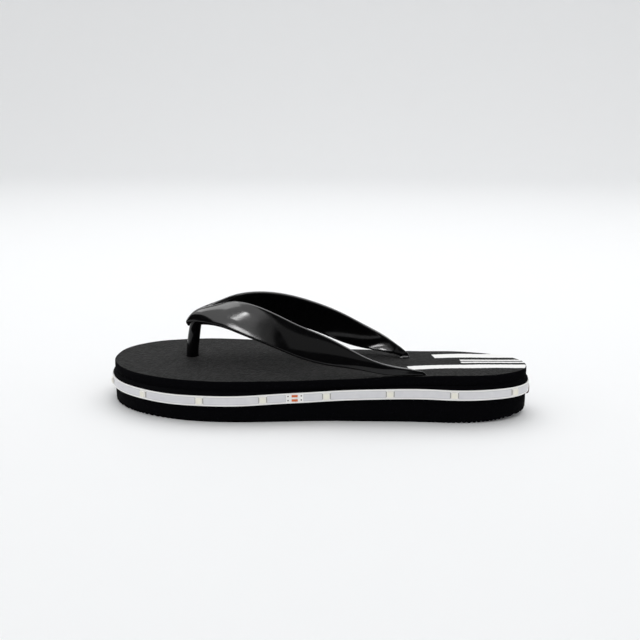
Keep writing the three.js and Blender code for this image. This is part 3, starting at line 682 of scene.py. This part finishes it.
class FLIPFLOP_OT_foam_core(bpy.types.Operator):
    """Middle layer of cut foam, which carries the light strip and swells above it"""

    bl_idname = "flip_flop.foam_core"
    bl_label = "Foam core"

    def execute(self, context):
        settings = context.scene.flip_flop_sole

        def at(share_up):
            """Height a share of the way from the strip's upper edge to the core's top."""
            def height(x, y):
                low = strip_middle(x) + STRIP_WIDTH / 2
                high = top_height(x) - FOOTBED_THICKNESS - GLUE_GAP
                return low + (high - low) * share_up
            return height

        levels = [(CORE_BULGE, lambda x, y: outsole_height(x) + GLUE_GAP),
                  (CORE_BULGE, lambda x, y: strip_middle(x)),
                  (CORE_BULGE, at(0.03)), (CORE_BULGE + 0.35, at(0.12)),
                  (CORE_BULGE + 0.42, at(0.26)), (CORE_BULGE + 0.3, at(0.42)),
                  (CORE_BULGE - 0.1, at(0.6)), (CORE_BULGE - 0.5, at(0.76)),
                  (0.12, at(0.9)), (0.0, at(1.0))]
        points, faces = sole_sheet(levels, 320, 10, 10)
        piece = put_object("eva_core", put_mesh("eva_core", points, faces))
        combine(piece, [*hole_shafts(), module_pocket()], "DIFFERENCE")
        shade(piece.data, 50)
        material = cut_foam("cut_eva_core", tuple(settings.side_colour), 0.8, 0.6)
        seat(piece, material, "core_foam", ["foam_core"])
        return {"FINISHED"}


def button_hole():
    """A round bore from the case out through the inner side of the heel."""
    centre = box_mm("switch_button").mean(axis=0)
    case_side = box_mm("module_case")[1][1]
    turn = 2 * np.pi * np.arange(64) / 64
    ring = np.stack([centre[0] + BUTTON_HOLE_RADIUS * np.cos(turn), np.zeros(64),
                     centre[2] + BUTTON_HOLE_RADIUS * np.sin(turn)], -1)
    return tube(np.array([ring + [0, 60, 0], ring + [0, case_side, 0]]))


def lead_channel():
    """A channel for both leads, from the case out through the back of the heel."""
    lead_bottom = min(box_mm("lead_red")[0, 2], box_mm("lead_black")[0, 2])
    case_end = box_mm("module_case")[1][0]
    return block((case_end - 1, CHANNEL_Y - CHANNEL_HALF, lead_bottom - 0.3),
                 (HALF + 10, CHANNEL_Y + CHANNEL_HALF, 25))


class FLIPFLOP_OT_outsole(bpy.types.Operator):
    """Bottom layer of moulded foam, with wavy ribs underneath and seats for the plugs"""

    bl_idname = "flip_flop.outsole"
    bl_label = "Outsole"

    def execute(self, context):
        settings = context.scene.flip_flop_sole
        pitch, depth = settings.tread_pitch / MM, settings.tread_depth / MM

        def groove(x, y):
            """Wavy grooves across the sole: a rounded step of the cosine of x plus a slow sine
            of y. Along the waist they stop short of the rim; at toe and heel they run out."""
            ridge = np.cos(2 * np.pi * (x + 1.7 * np.sin(2 * np.pi * y / 15)) / pitch)
            inward = np.minimum(y - sole_edge(x, -1, 0), sole_edge(x, 1, 0) - y)
            open_ends = smoothstep(70, 105, np.abs(x + 3))
            kept = open_ends + (1 - open_ends) * smoothstep(1.5, 5, inward)
            return depth * kept * (1 - smoothstep(-0.5, 0.15, ridge))

        def ground(rise, share_of_groove):
            return lambda x, y: bottom_height(x) + rise + share_of_groove * groove(x, y)

        levels = [(-0.6, ground(0, 1)), (-0.18, ground(0.2, 1)), (0.0, ground(0.6, 0.9)),
                  (0.0, ground(2.0, 0.0)), (0.08, lambda x, y: outsole_height(x) * 0.6),
                  (0.0, lambda x, y: outsole_height(x) - 0.4),
                  (-0.3, lambda x, y: outsole_height(x))]
        points, faces = sole_sheet(levels, 900, 44, 6)
        piece = put_object("eva_outsole", put_mesh("eva_outsole", points, faces))
        combine(piece, [*hole_shafts(), *plug_seats(), module_pocket(), button_hole(),
                        lead_channel()], "DIFFERENCE")
        shade(piece.data, 40)
        material = cut_foam("moulded_eva_outsole", tuple(settings.side_colour), 0.7, 0.25)
        seat(piece, material, "outsole_foam", ["outsole"])
        return {"FINISHED"}


# ---- strap ----
# Rows down each arm: share of the way from post to hole, sideways bow, height above footbed.
OUTER_ARM_OUTER = (
    (.05, -4.2, 22.5), (.14, -8.2, 23.2), (.22, -11.3, 20.9), (.30, -13.9, 18.1),
    (.39, -16.5, 15.5), (.47, -18, 11.9), (.55, -17.5, 8.8), (.63, -16.1, 6.4),
    (.71, -13.8, 5.3), (.79, -12.0, 3.2), (.86, -9.4, 1.2), (.92, -6.9, .5),
    (.98, -3.2, .4), (1.03, .4, .7))
OUTER_ARM_INNER = (
    (.15, 2.4, 35.3), (.20, 1.0, 38.1), (.27, -.8, 38.0), (.34, -2.4, 35.9), (.42, -4.0, 32.0),
    (.50, -5.3, 27.4), (.59, -6.2, 23.8), (.66, -7.3, 19.9), (.74, -8.8, 14.3), (.81, -9.9, 10.0),
    (.88, -8.3, 6.8), (.93, -5.9, 5.0), (.99, -1.6, 3.3), (1.04, 2.0, 2.0))
INNER_ARM_OUTER = (
    (.05, 6.4, 22.5), (.13, 13.5, 23.9), (.22, 18.9, 23.3), (.32, 21.8, 21.5), (.41, 22.2, 19.0),
    (.50, 21.3, 15.9), (.60, 19.4, 11.8), (.68, 16.5, 7.4), (.77, 13.2, 4.1), (.85, 8.8, 2.8),
    (.91, 4.0, 2.2), (.97, .5, 1.7), (1.01, -.8, 1.2))
INNER_ARM_INNER = (
    (.16, 3.9, 36.3), (.22, 8.0, 39.7), (.31, 10.9, 40.8), (.40, 12.2, 40.0), (.49, 13.0, 37.5),
    (.58, 13.9, 33.7), (.68, 14.1, 28.3), (.76, 13.6, 22.3), (.83, 11.6, 17.2), (.90, 8.6, 12.7),
    (.96, 4.6, 7.6), (1.00, 1.8, 3.8), (1.03, .2, 2.0))
NOSE_REACH, NOSE_RISE = 3.1, 20.0
CROTCH_REACH, CROTCH_RISE = 15.3, 31.2
POST_LEAN = 3.5
RINGS_PER_ARM = 170
RELAX_PASSES = 90
TAIL_SINK, END_DIVE = 0.75, 2.8
NOSE_THICKENING, NOSE_DOME = 1.0, 2.2
DOME_RADIUS, DOME_HEIGHT = 3.6, 1.7


def edge_points(hole, rows):
    """Points of one edge: along the line from post to hole, bowed sideways and raised."""
    along, bow, rise = np.array(rows, float).T
    x = POST["x"] + (hole["x"] - POST["x"]) * along
    y = POST["y"] + (hole["y"] - POST["y"]) * along + bow
    return np.stack([x, y, top_height(x) + rise], -1)


def smooth_curve(points, steps):
    """Centripetal Catmull-Rom curve through the points, steps + 1 points evenly by segment."""
    padded = np.vstack([2 * points[0] - points[1], points, 2 * points[-1] - points[-2]])
    at = np.linspace(0, len(points) - 1, steps + 1)
    i = np.minimum(at.astype(int), len(points) - 2)
    t = (at - i)[:, None]
    p0, p1, p2, p3 = (padded[i + k] for k in range(4))
    d0, d1, d2 = (np.linalg.norm(b - a, axis=1, keepdims=True) ** 0.5
                  for a, b in ((p0, p1), (p1, p2), (p2, p3)))
    m1 = ((p1 - p0) / d0 - (p2 - p0) / (d0 + d1) + (p2 - p1) / d1) * d1
    m2 = ((p2 - p1) / d1 - (p3 - p1) / (d1 + d2) + (p3 - p2) / d2) * d1
    return ((2 * t ** 3 - 3 * t ** 2 + 1) * p1 + (t ** 3 - 2 * t ** 2 + t) * m1
            + (3 * t ** 2 - 2 * t ** 3) * p2 + (t ** 3 - t ** 2) * m2)


def relax(points, hold, passes):
    """Move each point towards the middle of its neighbours, as far as its hold (0 to 1) allows."""
    points, free = points.copy(), (1 - hold)[1:-1, None]
    for _ in range(passes):
        points[1:-1] += free * 0.25 * (points[:-2] - 2 * points[1:-1] + points[2:])
    return points


def strap_edges():
    """The band's two edges from the outer tail over the toe post to the inner tail; their ends
    dive into the footbed."""
    foot = float(top_height(POST["x"]))
    nose = np.array([POST["x"] - NOSE_REACH, POST["y"], foot + NOSE_RISE])
    crotch = np.array([POST["x"] + CROTCH_REACH, POST["y"], foot + CROTCH_RISE])
    step = np.abs(np.arange(2 * RINGS_PER_ARM + 1) - RINGS_PER_ARM) / RINGS_PER_ARM
    edges = []
    for start, outer_rows, inner_rows, held in ((nose, OUTER_ARM_OUTER, INNER_ARM_OUTER, 0.03),
                                                (crotch, OUTER_ARM_INNER, INNER_ARM_INNER, 0.07)):
        outer_arm = np.vstack([start, edge_points(OUTER_HOLE, outer_rows)])
        inner_arm = np.vstack([start, edge_points(INNER_HOLE, inner_rows)])
        edge = relax(np.vstack([smooth_curve(outer_arm, RINGS_PER_ARM)[::-1],
                                smooth_curve(inner_arm, RINGS_PER_ARM)[1:]]),
                     1 - smoothstep(0, held, step), RELAX_PASSES)
        edge[:, 2] -= TAIL_SINK * smoothstep(0.88, 0.96, step)
        edge[:, 2] -= END_DIVE * smoothstep(0.955, 1.0, step)
        edges.append(edge)
    return (*edges, step, nose, crotch)


def band_section(corner_steps=6, face_steps=17):
    """Rounded rectangle as shares: across the face, side of the thickness, and corner direction."""
    face = np.linspace(-1, 1, face_steps)
    turn = np.linspace(0, np.pi / 2, corner_steps + 1)[1:-1]
    rows = [(a, 1, 0, 1) for a in face]
    rows += [(1, 1, math.sin(b), math.cos(b)) for b in turn]
    rows += [(1, c, 1, 0) for c in (1, 0, -1)]
    rows += [(1, -1, math.cos(b), -math.sin(b)) for b in turn]
    rows += [(a, -1, 0, -1) for a in face[::-1]]
    rows += [(-1, -1, -math.sin(b), -math.cos(b)) for b in turn]
    rows += [(-1, c, -1, 0) for c in (-1, 0, 1)]
    rows += [(-1, 1, -math.cos(b), math.sin(b)) for b in turn]
    return np.array(rows).T


def strap_band(settings):
    """Rounded-rectangle sections set across the two edges; their thickness and camber change with
    the share of the way from the post, and each face bulges as 1 - share across squared."""
    outer, inner, step, nose, crotch = strap_edges()
    half = (inner - outer) / 2
    centre = (inner + outer) / 2
    middle = np.gradient(centre, axis=0)
    normal = np.cross(half, middle)
    normal /= np.linalg.norm(normal, axis=1, keepdims=True)
    width = np.linalg.norm(half, axis=1)[:, None]
    unit = half / width
    thick = settings.thickness / MM
    thick = thick + (settings.tail_thickness / MM - thick) * smoothstep(0.55, 0.85, step)
    thick = (thick + (settings.end_thickness / MM - thick) * smoothstep(0.88, 1, step))[:, None]
    thick += NOSE_THICKENING * (1 - smoothstep(0.02, 0.2, step))[:, None]
    camber = settings.camber / MM * (1 - smoothstep(0.6, 0.9, step))
    camber = (camber + NOSE_DOME * (1 - smoothstep(0.0, 0.14, step)))[:, None]
    face, side, corner_x, corner_z = band_section()
    radius = np.minimum(settings.corner / MM, 0.42 * thick)
    across = face * (width - radius) + corner_x * radius
    out = side * (thick / 2 - radius) + corner_z * radius + camber * (1 - (across / width) ** 2)
    rings = centre[:, None] + across[..., None] * unit[:, None] + out[..., None] * normal[:, None]
    return rings, nose, crotch


def plug_stations(hole):
    x, y, _ = hole_centre(hole, PLUG_TOP)
    big, small = hole["plug"], hole["radius"]
    rim = [(big - 0.5 + 0.5 * math.sin(a), PLUG_BOTTOM + 0.5 - 0.5 * math.cos(a))
           for a in np.linspace(0, np.pi / 2, 5)]
    rows = [((x, y, z), r, 0) for r, z in rim]
    rows += [((x, y, PLUG_TOP - 0.3), big, 0), ((x, y, PLUG_TOP), big - 0.3, 0),
             ((x, y, PLUG_TOP + 0.01), small + 0.1, 0)]
    return rows


def toe_post(nose, crotch):
    """The toe post: from its plug straight up, leaning to the heel and flaring into the band."""
    slope = math.atan2(crotch[2] - nose[2], crotch[0] - nose[0])
    top_x = POST["x"] + POST_LEAN
    middle = nose + (crotch - nose) * (top_x + 1 - nose[0]) / (crotch[0] - nose[0])
    foot = float(top_height(POST["x"]))
    rows = plug_stations(POST)
    for up in np.linspace(0, 0.96, 17):
        tilt = slope * float(smoothstep(0.5, 0.95, up))
        radius = POST["radius"] * (1 + 0.28 * float(smoothstep(0.6, 1.0, up)))
        rows.append(((POST["x"] + POST_LEAN * up ** 1.4, POST["y"],
                      foot + (middle[2] - foot) * up), radius, tilt))
    rows.append((tuple(middle), POST["radius"] * 1.25, slope))
    return round_bar(rows, 56)


def tail_stem(hole):
    """The stem under a tail: from its plug through the sole, flaring over the hole into a low dome
    that joins the end of the band."""
    x, y, top = hole_centre(hole, float(top_height(hole["x"])))
    rows = plug_stations(hole) + [((x, y, top - 1.2), hole["radius"], 0),
                                  ((x, y, top - 0.7), hole["radius"] * 0.95, 0)]
    rows += [((x, y, top - 0.4 + DOME_HEIGHT * math.sin(a)), DOME_RADIUS * math.cos(a), 0)
             for a in np.linspace(0, 1.4, 9)]
    return round_bar(rows, 40)


class FLIPFLOP_OT_strap(bpy.types.Operator):
    """Moulded strap: a band in a V, its toe post, two stems and the plugs, all one moulding"""

    bl_idname = "flip_flop.strap"
    bl_label = "Strap"

    def execute(self, context):
        settings = context.scene.flip_flop_strap
        rings, nose, crotch = strap_band(settings)
        points, faces = tube(rings)
        piece = put_object("pvc_strap", put_mesh("pvc_strap", points, faces))
        face_out(piece)
        combine(piece, [toe_post(nose, crotch), tail_stem(OUTER_HOLE), tail_stem(INNER_HOLE)],
                "UNION")
        shade(piece.data, 50)
        seat(piece, moulded_pvc(settings), "strap_pvc", ["strap"])
        return {"FINISHED"}


# ---- light strip ----

LED_COUNT = sum(name.startswith("led_") and name[4:].isdigit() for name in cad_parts)
STRIP_END = rail.heel_at - 1.7
STRIP_START = STRIP_END - LED_COUNT * LED_PITCH
LEADS_PAST_END = 3.7
CHANNEL_Y = float(rail.at(np.array([STRIP_END + LEADS_PAST_END]), 0)[1][0])
TAPE_INNER, TAPE_OUTER = 0.2, 0.6
STRIP_INNER, STRIP_OUTER = 0.7, 1.05
CHIP_INNER = 1.15


def ripple(u, amount):
    """Slow waves along the strip that vanish at every cut mark."""
    unit = np.pi * u / (LED_PITCH * LEDS_PER_CUT)
    return amount * (0.6 * np.sin(3 * unit) + 0.4 * np.sin(7 * unit))


def side_band(inner, outer, width, ripple_amount, rounding):
    """A flat band along the core's side: a rectangle with eased corners carried along the rail."""
    u = np.linspace(0, STRIP_END - STRIP_START, 1100)
    section = [(0, -1), (1 - rounding, -1), (1, -1 + rounding), (1, 0), (1, 1 - rounding),
               (1 - rounding, 1), (0, 1)]
    rings = []
    for depth, up in section:
        x, y, _, _ = rail.at(STRIP_START + u, inner + (outer - inner) * min(1, max(0, depth)))
        base_x, _, _, _ = rail.at(STRIP_START + u, 0)
        z = strip_middle(base_x) + ripple(u, ripple_amount) + up * width / 2
        rings.append(np.stack([x, y, z], -1))
    rings = np.stack(rings, axis=1)
    points, faces = tube(rings)
    v = np.array([up for _, up in section]) * width / 2
    uv = np.stack(np.meshgrid(u, v, indexing="ij"), -1).reshape(-1, 2)
    return points, faces, uv


CHIP_SIZE = 4.1
# rows of a chip: half size as a share, height, and power of the superellipse
CHIP_ROWS = ((1.0, 0.0, 7), (1.0, 0.7, 7), (0.97, 0.84, 7), (0.9, 0.9, 7), (0.80, 0.9, 2.6),
             (0.77, 0.84, 2.4), (0.76, 0.62, 2.2), (0.45, 0.66, 2), (0.15, 0.68, 2))
CHIP_SIDES = 48


def chip_shape(settings, number):
    """A light chip: rounded squares, each a superellipse |x|^p + |z|^p = 1, from its foot up over
    an eased rim and down into a round window of resin, set on the rail and turned with it."""
    turn = 2 * np.pi * np.arange(CHIP_SIDES) / CHIP_SIDES
    cosine, sine = np.cos(turn), np.sin(turn)
    half, height, exponent = np.array(CHIP_ROWS).T[..., None]
    radius = half * CHIP_SIZE / 2 / (np.abs(cosine) ** exponent
                                     + np.abs(sine) ** exponent) ** (1 / exponent)
    local = np.stack([radius * cosine, height + 0 * radius, radius * sine], -1)
    s = STRIP_START + (number + 0.5) * LED_PITCH
    x, y, nx, ny = (float(v[0]) for v in rail.at(np.array([s]), CHIP_INNER))
    base_x = float(rail.at(np.array([s]), 0)[0][0])
    z = strip_middle(base_x) + ripple(s - STRIP_START, settings.ripple / MM)
    along, out, up = np.array([[-ny, nx, 0], [nx, ny, 0], [0, 0, 1]])
    return tube(np.array([x, y, z]) + local[..., :1] * along + local[..., 1:2] * out
                + local[..., 2:] * up)


def chip_material(settings):
    """A surface-mounted light chip: matt white moulded housing, pale yellow resin in its window.
    The resin shows where the surface lies within the window, by the piece's own map."""
    material, tree, shader, place = start_material(
        "moulded_chip_housing", tuple(settings.chip_colour), 0.45, IOR=1.5)
    window = ranged(tree, own_map(tree).outputs["X"], 0.80, 0.76)
    tint(tree, shader, window, settings.chip_colour, settings.resin_colour)
    bump(tree, shader, noise(tree, place, 900, 2.0), 0.05, 0.4)
    return material


def set_uv(mesh, uv):
    layer = mesh.uv_layers.new(name=SURFACE_MAP)
    corners = np.empty(len(mesh.loops), np.int32)
    mesh.loops.foreach_get("vertex_index", corners)
    layer.data.foreach_set("uv", uv[corners].astype(np.float32).ravel())


class FLIPFLOP_OT_light_strip(bpy.types.Operator):
    """The flexible strip with its tape, its light chips and its cut pads"""

    bl_idname = "flip_flop.light_strip"
    bl_label = "Light strip"

    def execute(self, context):
        settings = context.scene.flip_flop_light_strip
        width, wander = settings.width / MM, settings.ripple / MM
        points, faces, uv = side_band(STRIP_INNER, STRIP_OUTER, width, wander, 0.06)
        piece = closed_piece("flex_strip", (points, faces), 50)
        set_uv(piece.data, uv)
        seat(piece, masked_strip(settings), "solder_mask", ["led_strip"])

        band = side_band(TAPE_INNER, TAPE_OUTER, width - 0.6, wander, 0.1)[:2]
        tape = closed_piece("acrylic_tape", band, 50)
        # double-sided acrylic foam tape: dull off-white, slightly crinkled
        seat(tape, speckled("acrylic_foam_tape", linear("#e6e6e2"), 0.8, 1.5, 0.05, 0.05),
             "adhesive_tape", ["strip_tape"])

        housing = chip_material(settings)
        reach = np.repeat(np.array(CHIP_ROWS)[:, 0], CHIP_SIDES)
        window_map = np.stack([reach, np.zeros_like(reach)], -1)
        for number in range(LED_COUNT):
            chip = closed_piece(f"light_chip_{number + 1:02d}", chip_shape(settings, number), 40)
            set_uv(chip.data, window_map)
            seat(chip, housing, "led_body", [f"led_{number + 1:02d}"])

        # bare copper that has gone a little brown: orange, half dull
        copper = speckled("bare_copper_pad", tuple(settings.copper_colour), 0.45, 0.9, 0.03, 0.12,
                          Metallic=0.35)
        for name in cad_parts:
            if name.startswith("cut_pad_"):
                dress_node(name, copper)
        return {"FINISHED"}


# ---- power module ----

def lead_path(name):
    """Centre line of a lead, taken as the middle of its rings: out of the case, along the channel,
    up the heel and round to the strip's end, on one smooth curve."""
    side = 1 if name == "lead_red" else -1
    case_end = box_mm("module_case")[1][0]
    lid_low = box_mm("module_lid")[0][2] - 0.05
    lead_z = lid_low - 1.3
    y = CHANNEL_Y - side * LEAD_SPACING
    target = float(strip_middle(np.array([HALF]))[0]) + side * 1.35
    leave = STRIP_END + LEADS_PAST_END - side * LEAD_SPACING
    finish = STRIP_START + rail.length - 0.3
    places = np.array([leave, leave, (leave + finish) / 2, finish])
    x, ry, _, _ = rail.at(places, np.array([0.7, 0.6, 0.6, 0.6]))
    heights = np.array([lead_z, target, target, target])
    start = [[case_end - 1.4, y, lead_z], [case_end + 4, y, lead_z], [x[0] - 4, y, lead_z]]
    return np.vstack([start, np.stack([x, ry, heights], -1)])


def lead_shape(name, radius=0.5, sides=20, steps=140):
    """A round tube carried along the lead's smooth curve, its rings kept from twisting."""
    path = smooth_curve(lead_path(name), steps)
    tangent = np.gradient(path, axis=0)
    tangent /= np.linalg.norm(tangent, axis=1, keepdims=True)
    across = np.cross(tangent, [0.31, 0.83, 0.46])
    across /= np.linalg.norm(across, axis=1, keepdims=True)
    other = np.cross(tangent, across)
    turn = 2 * np.pi * np.arange(sides) / sides
    rings = (path[:, None] + radius * (np.cos(turn)[None, :, None] * across[:, None]
                                       + np.sin(turn)[None, :, None] * other[:, None]))
    return tube(rings)


def button_shape():
    """The button turned about its own axis: tip, flange, stem, and a cap with a domed face."""
    low, high = box_mm("switch_button")
    x, z = (low[0] + high[0]) / 2, (low[2] + high[2]) / 2
    face, tip = high[1], low[1]
    flange = box_mm("module_case")[1][1] - 1.2 - 0.3
    profile = [(tip, 0.3), (tip, 1.2), (tip + 0.2, 1.4), (flange - 0.8, 1.4), (flange - 0.8, 2.6),
               (flange - 0.7, 2.7), (flange, 2.7), (flange, 1.8), (face - 4.0, 1.8),
               (face - 4.0, 3.4), (face - 3.9, 3.5), (face - 0.9, 3.5)]
    profile += [(face - 0.3 - 0.6 * (1 - math.sin(a)), 2.9 + 0.6 * math.cos(a))
                for a in np.linspace(0.2, 1.4, 6)]
    profile += [(face - 0.12, 2.1), (face - 0.03, 1.2), (face, 0.4)]
    y, radius = np.array(profile).T
    turn = 2 * np.pi * np.arange(56) / 56
    rings = np.stack([x + radius[:, None] * np.cos(turn), np.repeat(y[:, None], 56, 1),
                      z - radius[:, None] * np.sin(turn)], -1)
    return tube(rings)


class FLIPFLOP_OT_power_module(bpy.types.Operator):
    """Case, cells, board, switch, leads and the button on the inner side"""

    bl_idname = "flip_flop.power_module"
    bl_label = "Power module"

    def execute(self, context):
        # ABS, moulded in a spark-eroded tool: satin black with a fine even grain
        plastic = speckled("moulded_abs", linear("#242427"), 0.5, 0.5, 0.05, 0.2)
        # nickel-plated steel cans, drawn and lightly brushed
        steel = speckled("nickel_plated_steel", linear("#c3c6c9"), 0.3, 0.4, 0.02, 0.06,
                         Metallic=1.0)
        # glass-fibre laminate under green solder mask: satin, with the weave just showing
        laminate = speckled("glass_fibre_board", linear("#1f6b3c"), 0.4, 0.6, 0.03, 0.15)
        for nodes, material in ((("module_case", "module_lid", "push_switch"), plastic),
                                (("contact_lower", "contact_upper", "coin_cell_1", "coin_cell_2"),
                                 steel), (("circuit_board",), laminate)):
            for node in nodes:
                dress_node(node, material)
        # extruded PVC sheath: soft satin, faintly streaked
        for name, hex_colour in (("lead_red", "#4e1210"), ("lead_black", "#0c0c0d")):
            piece = closed_piece(f"{name}_sheath", lead_shape(name), 60)
            sheath = speckled(f"extruded_pvc_{name[5:]}", linear(hex_colour), 0.45, 1.2, 0.02, 0.1)
            seat(piece, sheath, name, [name])
        button = closed_piece("rubber_button", button_shape(), 40)
        # compression-moulded silicone rubber: matt, velvety
        rubber = speckled("moulded_silicone", linear("#18181a"), 0.65, 0.4, 0.03, 0.15)
        seat(button, rubber, "button_rubber", ["switch_button"], body="button")
        return {"FINISHED"}


# ---- stage ----

def sweep_profile():
    """Floor, quarter circle and wall, as points in y and z."""
    turn = np.linspace(0, np.pi / 2, 24)
    floor = [(-9000, 0), (-1200, 0), (0, 0), (900, 0)]
    bend = [(1500 + 900 * math.sin(a), 900 * (1 - math.cos(a))) for a in turn]
    return np.array(floor + bend + [(2400, 4000)])


STRAP_MIDDLE = Vector((-0.045, -0.01, 0.055))
CAMERA_PLACE, CAMERA_LOOK = (0.0774, -0.6086, 0.2004), (-0.1185, 0.9651, -0.2334)
SENSOR_WIDTH, LENS = 36, 55.69
GLOSS_AMBIENT = 0.03


def aim(azimuth, elevation, distance):
    """A place seen from the strap: azimuth in degrees from straight ahead of the outer side towards
    the heel, and elevation above the floor."""
    turn, rise = math.radians(azimuth), math.radians(elevation)
    way = Vector((math.sin(turn) * math.cos(rise), -math.cos(turn) * math.cos(rise),
                  math.sin(rise)))
    return STRAP_MIDDLE + way * distance


def area_light(name, place, target, size, power):
    data = bpy.data.lights.new(name, "AREA")
    data.shape, data.size, data.size_y, data.energy = "RECTANGLE", size[0], size[1], power
    light = put_object(name, data)
    light.location = place
    light.rotation_euler = (Vector(target) - Vector(place)).to_track_quat("-Z", "Y").to_euler()
    return light


class FLIPFLOP_OT_stage(bpy.types.Operator):
    """Pale floor that sweeps up into a backdrop, soft lights and the camera"""

    bl_idname = "flip_flop.stage"
    bl_label = "Stage"

    def execute(self, context):
        settings = context.scene.flip_flop_stage
        profile = sweep_profile()
        x = np.array([-9000.0, 9000.0])
        grid = np.stack([np.repeat(x[None, :], len(profile), 0),
                         np.repeat(profile[:, :1], 2, 1), np.repeat(profile[:, 1:], 2, 1)], -1)
        rows = np.arange(len(profile) - 1) * 2
        faces = np.stack([rows, rows + 1, rows + 3, rows + 2], -1).tolist()
        floor = put_object("sweep", put_mesh("sweep", grid.reshape(-1, 3), faces))
        shade(floor.data, 60)
        # satin-painted board: nearly white and even
        floor.data.materials.append(
            speckled("painted_board", tuple(settings.floor_colour), 0.6, 40, 0.001, 0.004,
                     Specular_IOR_Level=0.1))

        world = bpy.data.worlds.new("studio")
        context.scene.world = world
        world.use_nodes = True
        background = world.node_tree.nodes["Background"]
        background.inputs["Color"].default_value = (1, 1, 1, 1)
        # gloss sees a much darker room than the one that fills the shadows
        path = add_node(world.node_tree, "ShaderNodeLightPath", {}, {})
        strength = add_node(world.node_tree, "ShaderNodeMapRange", {}, {
            "Value": path.outputs["Is Glossy Ray"], "To Min": settings.ambient,
            "To Max": GLOSS_AMBIENT})
        world.node_tree.links.new(strength.outputs[0], background.inputs["Strength"])
        top = area_light("top_softbox", (0.0, 0.7, 1.25), (0, 0.1, 0), (1.8, 0.9),
                         settings.top_power)
        top.visible_glossy = top.visible_camera = False
        # for gloss alone: a wide panel at the left and a dim one that fades its edge, one at the
        # toe, one in front, one overhead and two small bright ones
        side, window, raised = settings.side_power, settings.window_power, Vector((0, 0, 1.77))
        overhead = Vector((0, 0.85, 1.25))
        for name, place, target, size, watts in (
                ("side_softbox", aim(-83, 0, 1.35) + raised, STRAP_MIDDLE + raised,
                 (1.62, 2.54), side),
                ("side_fade", aim(-48, 0, 1.35) + raised, STRAP_MIDDLE + raised,
                 (0.2, 2.54), side * 0.03),
                ("toe_softbox", aim(-106, 43, 1.35), STRAP_MIDDLE, (0.8, 0.6), side * 0.2),
                ("front_panel", aim(-12, 53, 1.35), STRAP_MIDDLE, (0.75, 0.7), side * 0.017),
                ("overhead_softbox", overhead, (0, 0.85, 0), (1.8, 1.8), settings.overhead_power),
                ("upper_window", aim(-62, 41, 1.2), STRAP_MIDDLE, (0.05, 0.34), window),
                ("lower_window", aim(-57, 21, 1.2), STRAP_MIDDLE, (0.14, 0.17), window)):
            light = area_light(name, place, target, size, watts)
            light.visible_diffuse = light.visible_camera = False

        context.scene.view_settings.view_transform = "Standard"
        data = bpy.data.cameras.new("camera")
        data.sensor_width, data.lens = SENSOR_WIDTH, LENS
        data.clip_start, data.clip_end = 0.01, 20
        camera = put_object("camera", data)
        camera.location = CAMERA_PLACE
        camera.rotation_euler = Vector(CAMERA_LOOK).to_track_quat("-Z", "Y").to_euler()
        context.scene.camera = camera
        return {"FINISHED"}


class FLIPFLOP_PT_panel(bpy.types.Panel):
    """Lists the pieces and their settings"""

    bl_label = "Flip flop"
    bl_idname = "FLIPFLOP_PT_panel"
    bl_space_type = "VIEW_3D"
    bl_region_type = "UI"
    bl_category = "Flip Flop"

    def draw(self, context):
        for group, operators in LAYOUT:
            box = self.layout.box()
            if group:
                settings = getattr(context.scene, group)
                for name in settings.__annotations__:
                    box.prop(settings, name)
            for operator in operators:
                box.operator(operator.bl_idname)


LAYOUT = (
    ("flip_flop_stage", (FLIPFLOP_OT_stage,)),
    ("flip_flop_sole", (FLIPFLOP_OT_footbed, FLIPFLOP_OT_foam_core, FLIPFLOP_OT_outsole)),
    ("flip_flop_strap", (FLIPFLOP_OT_strap,)),
    ("flip_flop_light_strip", (FLIPFLOP_OT_light_strip,)),
    ("", (FLIPFLOP_OT_power_module,)),
)
SETTINGS = {
    "flip_flop_sole": SoleSettings,
    "flip_flop_strap": StrapSettings,
    "flip_flop_light_strip": LightStripSettings,
    "flip_flop_stage": StageSettings,
}
CLASSES = (*SETTINGS.values(), *(o for _, group in LAYOUT for o in group), FLIPFLOP_PT_panel)


def register():
    for cls in CLASSES:
        bpy.utils.register_class(cls)
    for name, cls in SETTINGS.items():
        setattr(bpy.types.Scene, name, PointerProperty(type=cls))


def unregister():
    for name in SETTINGS:
        delattr(bpy.types.Scene, name)
    for cls in reversed(CLASSES):
        bpy.utils.unregister_class(cls)


def main():
    register()
    bpy.ops.flip_flop.stage()
    bpy.ops.flip_flop.footbed()
    bpy.ops.flip_flop.foam_core()
    bpy.ops.flip_flop.outsole()
    bpy.ops.flip_flop.strap()
    bpy.ops.flip_flop.light_strip()
    bpy.ops.flip_flop.power_module()


if __name__ == "__main__":
    main()
